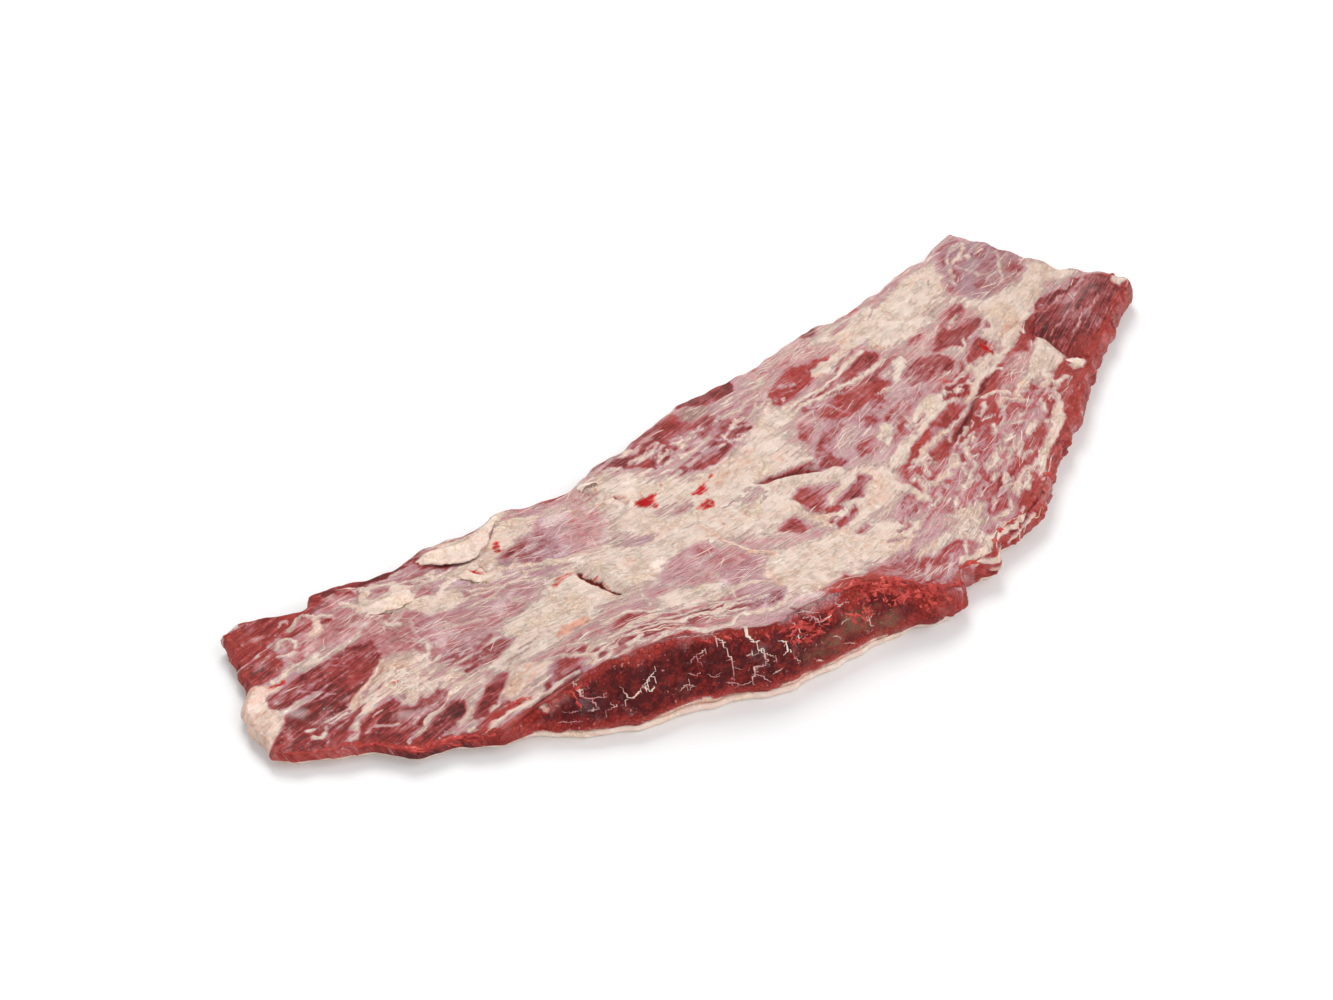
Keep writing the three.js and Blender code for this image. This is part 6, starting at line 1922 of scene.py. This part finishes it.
def build_top_strands():
    """Raised strands of fat along the pale narrow strokes that are painted on the top."""
    surface = lean_surface()
    paths = []
    strokes = [brush for brushes in TOP_PAINT for brush in brushes
               if isinstance(brush, Stroke) and brush.cover >= 0.76 and brush.width <= 3.2
               and len(brush.points) > 2]
    for number, brush in enumerate(strokes):
        length = sum(math.dist(a, b) for a, b in zip(brush.points[:-1], brush.points[1:]))
        plan = spline_points(brush.points, max(4, round(length / 0.8)))
        wave_x, wave_y = waviness_at(plan[:, 0], plan[:, 1])
        radii = tapered(len(plan), 0.3 * brush.width, number)
        points, kept = [], []
        for x, y, radius in zip(plan[:, 0] - wave_x, plan[:, 1] - wave_y, radii):
            height, _ = drop(surface, x, y)
            if height > FAT_THICKNESS + 1:
                points.append(((x + SHIFT[0]) * MILLIMETRE, (y + SHIFT[1]) * MILLIMETRE,
                               height * MILLIMETRE - 0.35 * radius))
                kept.append(radius)
        if len(points) > 3:
            paths.append((points, kept))
    strands_piece("fat_strands", paths, fat_material("strand fat", 0.5), 7, 0.0006)


def near_wall():
    """The muscle's near side as rows of points, from the rim down, in metres, with the distance of
    each column along the edge in millimetres."""
    sizes = settings().sizes
    columns, rows = lean_grid()
    outline = Outline(columns, rows)
    mesh = bpy.data.objects["rib_cap_lean"].data
    places = np.empty(3 * len(mesh.vertices), np.float32)
    mesh.vertices.foreach_get("co", places)
    places = places.reshape(-1, 3).astype(float)
    top_count = (columns + 1) * (rows + 1)
    side_loops = sizes.side_rows + len(UNDER_ROWS)
    below = places[top_count:top_count + side_loops * outline.count].reshape(side_loops, outline.count, 3)
    wall = np.concatenate([places[outline.border()][None], below])[:, :columns]
    return wall, outline.travelled[:columns]


def surface_walk(surface, place, heading, steps, stride, rng):
    """Places on the top along a wandering way, in metres, with the faces that they lie on."""
    x, y = place
    points, faces = [], []
    for _ in range(steps):
        above = Vector(((x + SHIFT[0]) * MILLIMETRE, (y + SHIFT[1]) * MILLIMETRE, 0.1))
        hit, normal, face, _ = surface.ray_cast(above, Vector((0, 0, -1)))
        if hit is None or normal.z < 0.5:
            break
        points.append(tuple(hit))
        faces.append(face)
        heading += rng.normal(0, 0.05 * stride)
        x, y = x + stride * math.cos(heading), y + stride * math.sin(heading)
    return points, faces


def build_threads():
    """Fine pale threads of membrane, mostly along the fibres, where film covers the muscle."""
    surface = lean_surface()
    mesh = bpy.data.objects["rib_cap_lean"].data
    covers = np.empty(len(mesh.vertices), np.float32)
    mesh.attributes["cover"].data.foreach_get("value", covers)
    rng = np.random.default_rng(23)
    low, high = [np.array(corner[:2]) / MILLIMETRE - SHIFT for corner in CAD_BOX]
    paths = []
    while len(paths) < settings().sizes.threads:
        place = rng.uniform(low, high)
        heading = fibre_heading(*place) + rng.normal(0, 0.14)
        if rng.uniform() < ASTRAY_SHARE:
            heading += rng.normal(0, 0.6)
        lowest = rng.uniform(THREAD_COVER[0], 0.45)
        points, faces = surface_walk(surface, place, heading, rng.integers(4, 13), 1.5, rng)
        under = [covers[mesh.polygons[face].vertices[0]] for face in faces]
        ends = [i for i, cover in enumerate(under) if not lowest < cover < THREAD_COVER[1]]
        points = points[:ends[0] if ends else len(points)]
        if len(points) < 4:
            continue
        radii = tapered(len(points), rng.uniform(0.22, 0.52), len(paths) % 50)
        points = [(a, b, c - 0.2 * radius) for (a, b, c), radius in zip(points, radii)]
        paths.append((points, radii))
    colours = settings().colours
    material = thread_material("membrane thread", colours.film_pale, colours.fat)
    strands_piece("membrane_threads", paths, material, 4, 0.0002)


def build_shreds():
    """Raised ragged edges on the shreds of fat that are painted on the top."""
    surface = lean_surface()
    rng = np.random.default_rng(37)
    paths = []
    for shred in shred_strokes():
        (x, y), (end_x, end_y) = shred.points[0], shred.points[-1]
        wave_x, wave_y = waviness_at(np.array([x]), np.array([y]))
        heading = math.atan2(end_y - y, end_x - x)
        steps = max(4, round(math.dist((x, y), (end_x, end_y)) / 0.8))
        points, _ = surface_walk(surface, (x - wave_x[0], y - wave_y[0]), heading, steps, 0.8, rng)
        if len(points) < 4 or rng.uniform() < 0.4:
            continue
        radii = tapered(len(points), 0.36 * shred.width, len(paths) % 60 + 20)
        paths.append(([(a, b, c - 0.5 * radius) for (a, b, c), radius in zip(points, radii)], radii))
    colours = settings().colours
    material = thread_material("shred fat", colours.film_pale, colours.fat)
    strands_piece("fat_shreds", paths, material, 7, 0.0006)


def wall_place(wall, travelled, distance, height, sunk):
    """A place on the near side, moved inward by how far it is sunk, in metres."""
    column = int(np.clip(np.searchsorted(travelled, distance), 1, len(travelled) - 2))
    heights = wall[::-1, column, 2] / MILLIMETRE
    here = np.array([np.interp(height, heights, wall[::-1, column, k]) for k in range(3)])
    run = wall[0, column + 1] - wall[0, column - 1]
    outward = np.array([run[1], -run[0], 0])
    return tuple(here - outward / np.linalg.norm(outward) * sunk)


def crooked_route(points, step, crooked, seed):
    """Points along straight pieces between the given ones, a little out of line."""
    knots = np.array(points, float)
    reached = np.r_[0, np.cumsum(np.linalg.norm(np.diff(knots, axis=0), axis=1))]
    steps = np.linspace(0, reached[-1], max(5, round(reached[-1] / step)) + 1)
    route = np.stack([np.interp(steps, reached, knots[:, k]) for k in range(2)], -1)
    for k in range(2):
        route[:, k] += 0.9 * crooked.layered(steps / 2.2 + 7 * seed, 0 * steps + 3.5 * k, 3)
    return route


def build_veins():
    """Veins of fat in the cut face, half sunk into it."""
    wall, travelled = near_wall()
    crooked, rng = Noise(17), np.random.default_rng(43)
    routes = [(crooked_route(vein.points, 0.5, crooked, number), 0.6 * vein.width)
              for number, vein in enumerate(FACE_VEINS)]
    for route, width in routes[:]:
        for x, z in route[1:-1:2]:
            if rng.uniform() < VEIN_TWIG_SHARE:
                heading, length = rng.uniform(0, 2 * math.pi), rng.uniform(0.8, 3.0)
                end = (x + length * math.cos(heading), z + length * math.sin(heading))
                routes.append((crooked_route([(x, z), end], 0.4, crooked, len(routes)), 0.3 + 0.22 * width))
    paths = []
    for number, (route, width) in enumerate(routes):
        radii = tapered(len(route), width, 100 + number)
        paths.append(([wall_place(wall, travelled, *place, 0.35 * radius)
                       for place, radius in zip(route, radii)], radii))
    colours = settings().colours
    strands_piece("face_veins", paths, thread_material("vein fat", colours.film, colours.fat), 6, 0.0004)


def build_torn_muscle():
    """Ribbons and lumps of torn muscle along the rim and the near side."""
    wall, travelled = near_wall()
    crooked, rng = Noise(19), np.random.default_rng(29)
    routes = [(crooked_route(ribbon.points, 1.0, crooked, number), ribbon.width)
              for number, ribbon in enumerate(RIBBONS)]
    for strewn in RIBBONS_STREWN:
        for _ in range(strewn.count):
            distance = rng.uniform(strewn.start, strewn.end)
            column = int(np.clip(np.searchsorted(travelled, distance), 1, len(travelled) - 2))
            high, low = wall[0, column, 2] / MILLIMETRE, wall[-1, column, 2] / MILLIMETRE
            height = high - (high - low) * rng.uniform(strewn.high, strewn.low)
            slant, length = rng.normal(-0.5, 0.6), rng.uniform(2.5, 8)
            end = (distance + length * math.cos(slant), height + length * math.sin(slant))
            routes.append((crooked_route([(distance, height), end], 0.9, crooked, len(routes)),
                           rng.uniform(1.4, 3.8)))
    paths = []
    for number, (route, width) in enumerate(routes):
        radii = tapered(len(route), width, 200 + number)
        paths.append(([wall_place(wall, travelled, *place, 0.74 * radius)
                       for place, radius in zip(route, radii)], radii))
    strands_piece("torn_muscle", paths, torn_material(), 7, 0.0012)


def add_loft(points, faces, loops):
    """Joins closed loops of equally many points into a closed body."""
    start, count = len(points), len(loops[0])
    for loop in loops:
        points.extend(loop)
    for i in range(len(loops) - 1):
        for j in range(count):
            k = (j + 1) % count
            a, b = start + i * count, start + (i + 1) * count
            faces.append((a + j, a + k, b + k, b + j))
    for loop, first in ((loops[0], start), (loops[-1], start + (len(loops) - 1) * count)):
        points.append(np.mean(loop, axis=0))
        centre = len(points) - 1
        for j in range(count):
            faces.append((first + j, first + (j + 1) % count, centre))


def flap_loops(surface, flap, noise):
    """The cross-sections of a flap from one end to the other."""
    length = sum(math.dist(a, b) for a, b in zip(flap.edge[:-1], flap.edge[1:]))
    count = max(8, round(length / 0.9))
    root, edge = spline_points(flap.root, count), spline_points(flap.edge, count)
    loops = []
    rows = 9
    for i in range(count + 1):
        share = i / count
        ends = float(smoothstep(min(share, 1 - share), 0, 0.22))
        ragged = 1 + 0.22 * float(noise.layered(i / 4, 0.5, 3))
        top, bottom = [], []
        for row in range(rows + 1):
            v = row / rows
            x, y = root[i] + (edge[i] - root[i]) * v * ragged
            base, _ = drop(surface, x, y)
            bend = flap.lift * ends * (v ** 1.7) * (1 + 0.3 * float(noise.layered(x / 5, y / 5, 2)))
            full = flap.thick * (0.3 + 0.7 * ends) * float(smoothstep(v, 0, 0.35)) * (1 - 0.55 * v * v)
            crumple = 0.3 * float(noise.layered(x / 2.5, y / 2.5, 2))
            top.append((x, y, base - 0.3 + bend + full + crumple * v))
            bottom.append((x, y, base - 0.6 + bend))
        (x, y, high), (_, _, low) = top[-1], bottom[-1]
        out = (edge[i] - root[i]) / max(np.linalg.norm(edge[i] - root[i]), 0.1)
        tip = (x + 0.45 * out[0] * flap.thick, y + 0.45 * out[1] * flap.thick, (high + low) / 2)
        loops.append(np.array(top + [tip] + bottom[::-1]))
    return loops


def build_flaps():
    surface = lean_surface()
    points, faces = [], []
    for number, flap in enumerate(FLAPS):
        add_loft(points, faces, flap_loops(surface, flap, Noise(60 + number)))
    piece = new_mesh("fat_flaps", points, faces, fat_material("flap fat", -0.3))
    made = bmesh.new()
    made.from_mesh(piece.data)
    bmesh.ops.remove_doubles(made, verts=made.verts, dist=1e-7)
    bmesh.ops.recalc_face_normals(made, faces=made.faces)
    made.to_mesh(piece.data)
    made.free()
    piece.data.shade_smooth()
    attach(piece, "root")


def build_stage():
    """The floor, the lights and the camera at the photographed angle."""
    stage = settings().stage
    mesh = bpy.data.meshes.new("floor")
    half = 4.0
    corners = [(-half, -half, 0), (half, -half, 0), (half, half, 0), (-half, half, 0)]
    mesh.from_pydata(corners, [], [(0, 1, 2, 3)])
    floor = bpy.data.objects.new("floor", mesh)
    bpy.context.scene.collection.objects.link(floor)
    material, shader, surface = new_material("floor")
    place = shader.node("ShaderNodeTexCoord").outputs["Object"]
    grain = shader.noise(place, 30, 2)
    shader.link(shader.mix(shader.math("MULTIPLY", grain, 0.02), (0.86, 0.86, 0.86, 1), (0.8, 0.8, 0.8, 1)),
                surface.inputs["Base Color"])
    surface.inputs["Roughness"].default_value = 0.9
    mesh.materials.append(material)

    def lamp(name, place, size, power):
        light = bpy.data.lights.new(name, "AREA")
        light.shape = "DISK"
        light.size = size
        light.energy = power
        made = bpy.data.objects.new(name, light)
        made.location = place
        made.rotation_euler = (-Vector(place)).to_track_quat("-Z", "Y").to_euler()
        bpy.context.scene.collection.objects.link(made)

    lamp("key light", (0.55, 1.0, 1.4), 1.0, stage.key_power)
    lamp("fill light", (0.9, -1.1, 1.4), 1.6, stage.fill_power)
    lamp("front light", (-1.0, -1.4, 0.65), 1.2, stage.front_power)

    world = bpy.data.worlds.new("studio")
    world.use_nodes = True
    background = world.node_tree.nodes["Background"]
    background.inputs["Color"].default_value = (1, 1, 1, 1)
    background.inputs["Strength"].default_value = stage.sky
    bpy.context.scene.world = world
    bpy.context.scene.view_settings.view_transform = "Standard"
    bpy.context.scene.view_settings.look = "None"

    camera = bpy.data.cameras.new("camera")
    camera.sensor_fit = "HORIZONTAL"
    camera.angle = stage.field_of_view
    holder = bpy.data.objects.new("camera", camera)
    bpy.context.scene.collection.objects.link(holder)
    eye = Vector((*(np.array([-621.3, -637.9]) + SHIFT), 816.3)) * MILLIMETRE
    target = Vector((*(np.array([-26.4, 46.35]) + SHIFT), 0)) * MILLIMETRE
    holder.location = eye
    holder.rotation_euler = (target - eye).to_track_quat("-Z", "Y").to_euler()
    bpy.context.scene.camera = holder


def colour_property(name, description, colour):
    return bpy.props.FloatVectorProperty(
        name=name, description=description, subtype="COLOR", size=4, min=0, max=1, default=colour)


class RibCapSizes(bpy.types.PropertyGroup):
    spacing: bpy.props.FloatProperty(
        name="Grid spacing", description="Distance between the points of the top", unit="LENGTH",
        default=0.0012, min=0.001)
    side_rows: bpy.props.IntProperty(
        name="Side rows", description="Rows of faces from the rim to the widest line", default=22, min=4)
    threads: bpy.props.IntProperty(
        name="Threads", description="How many fine threads the membrane has", default=1100, min=0)
    ragged: bpy.props.FloatProperty(
        name="Ragged edge", description="How far the edge wanders from its smooth line", unit="LENGTH",
        default=0.0008, min=0)


class RibCapColours(bpy.types.PropertyGroup):
    # Deep muscle colour, and also the painted shade between the fibres of bare muscle and in the seams of the
    # cut face.
    deep_muscle_and_shade: colour_property("Deep muscle", "Muscle in the dark cut and in hollows", srgb(72, 12, 16))
    muscle: colour_property("Muscle", "Bare muscle", srgb(154, 46, 46))
    muscle_film: colour_property("Muscle under film", "Muscle under thin membrane", srgb(170, 77, 76))
    film: colour_property("Film", "Membrane over muscle", srgb(184, 126, 127))
    film_cool: colour_property("Cool film", "Grey cast of the membrane", srgb(180, 148, 158))
    film_pale: colour_property("Pale film", "Thick or milky membrane", srgb(208, 175, 169))
    muscle_brick: colour_property("Brick red", "Torn and airy muscle", srgb(196, 62, 52))
    ember: colour_property("Torn muscle", "Bright lumps of torn muscle", srgb(222, 98, 80))
    # Pale fibres and flecks, and also the painted light on the threads of bare muscle.
    fibre: colour_property("Fibre", "Single pale fibres", srgb(214, 160, 154))
    fat: colour_property("Fat", "Main colour of the fat", srgb(228, 209, 194))
    fat_warm: colour_property("Warm fat", "Cream blotches of the fat", srgb(230, 206, 182))
    fat_grey: colour_property("Grey fat", "Thin and translucent fat", srgb(220, 193, 182))
    # Painted highlight on the highest crumbs and lumps of the fat.
    fat_highlight: colour_property("Light fat", "Highest crumbs of the fat", srgb(240, 228, 217))
    fat_pink: colour_property("Pink fat", "Fat stained by juice", srgb(226, 152, 124))
    # Juice stain and painted shade in the creases of the fat.
    fat_crease_stain_and_shade: colour_property("Creases", "Creases of the fat", srgb(176, 112, 96))
    blood: colour_property("Blood", "Spots of blood", srgb(186, 14, 18))
    # The bottom of cracks, and the painted shade in hollows and under the flaps.
    crack_and_shade: colour_property("Crack", "Bottom of cracks", srgb(104, 28, 20))
    brown: colour_property("Brown", "Browned patches", srgb(132, 98, 72))


class RibCapStage(bpy.types.PropertyGroup):
    field_of_view: bpy.props.FloatProperty(
        name="Field of view", description="Across the picture", subtype="ANGLE", default=math.radians(30))
    key_power: bpy.props.FloatProperty(
        name="Key light", description="Power from behind", unit="POWER", default=19)
    fill_power: bpy.props.FloatProperty(name="Fill light", description="Power from the right", unit="POWER",
                                        default=12)
    front_power: bpy.props.FloatProperty(name="Front light", description="Power from the front", unit="POWER",
                                         default=9.0)
    sky: bpy.props.FloatProperty(name="Sky", description="Strength of the light from all round", default=0.64)


class RibCapSettings(bpy.types.PropertyGroup):
    sizes: bpy.props.PointerProperty(type=RibCapSizes)
    colours: bpy.props.PointerProperty(type=RibCapColours)
    stage: bpy.props.PointerProperty(type=RibCapStage)


class RIBCAP_OT_lean(bpy.types.Operator):
    """Builds the muscle with its membrane, fat patches and cut face"""

    bl_idname = "ribcap.lean"
    bl_label = "Build the lean"

    def execute(self, context):
        build_lean()
        return {"FINISHED"}


class RIBCAP_OT_fat_cover(bpy.types.Operator):
    """Builds the layer of fat that the muscle lies on"""

    bl_idname = "ribcap.fat_cover"
    bl_label = "Build the fat cover"

    def execute(self, context):
        build_fat_cover()
        return {"FINISHED"}


class RIBCAP_OT_strands(bpy.types.Operator):
    """Builds the raised strands of fat on the top and the veins in the cut face"""

    bl_idname = "ribcap.strands"
    bl_label = "Build strands and veins"

    def execute(self, context):
        build_top_strands()
        build_threads()
        build_shreds()
        build_veins()
        build_torn_muscle()
        return {"FINISHED"}


class RIBCAP_OT_flaps(bpy.types.Operator):
    """Builds the lifted flaps of fat"""

    bl_idname = "ribcap.flaps"
    bl_label = "Build the flaps"

    def execute(self, context):
        build_flaps()
        return {"FINISHED"}


class RIBCAP_OT_stage(bpy.types.Operator):
    """Builds the floor, the lights and the camera"""

    bl_idname = "ribcap.stage"
    bl_label = "Build the stage"

    def execute(self, context):
        build_stage()
        return {"FINISHED"}


class RIBCAP_PT_panel(bpy.types.Panel):
    """Lists the parts of the rib cap"""

    bl_idname = "RIBCAP_PT_panel"
    bl_label = "Rib Cap"
    bl_space_type = "VIEW_3D"
    bl_region_type = "UI"
    bl_category = "Rib Cap"

    def draw(self, context):
        for operator in OPERATORS:
            self.layout.operator(operator.bl_idname)
        for group in (settings().sizes, settings().colours, settings().stage):
            for name in group.__annotations__:
                self.layout.prop(group, name)


OPERATORS = (RIBCAP_OT_lean, RIBCAP_OT_fat_cover, RIBCAP_OT_strands, RIBCAP_OT_flaps, RIBCAP_OT_stage)
CLASSES = (RibCapSizes, RibCapColours, RibCapStage, RibCapSettings, *OPERATORS, RIBCAP_PT_panel)


def register():
    for each in CLASSES:
        bpy.utils.register_class(each)
    bpy.types.Scene.rib_cap = bpy.props.PointerProperty(type=RibCapSettings)


def unregister():
    del bpy.types.Scene.rib_cap
    for each in reversed(CLASSES):
        bpy.utils.unregister_class(each)


def main():
    register()
    bpy.ops.ribcap.stage()
    bpy.ops.ribcap.lean()
    bpy.ops.ribcap.fat_cover()
    bpy.ops.ribcap.strands()
    bpy.ops.ribcap.flaps()


if __name__ == "__main__":
    main()
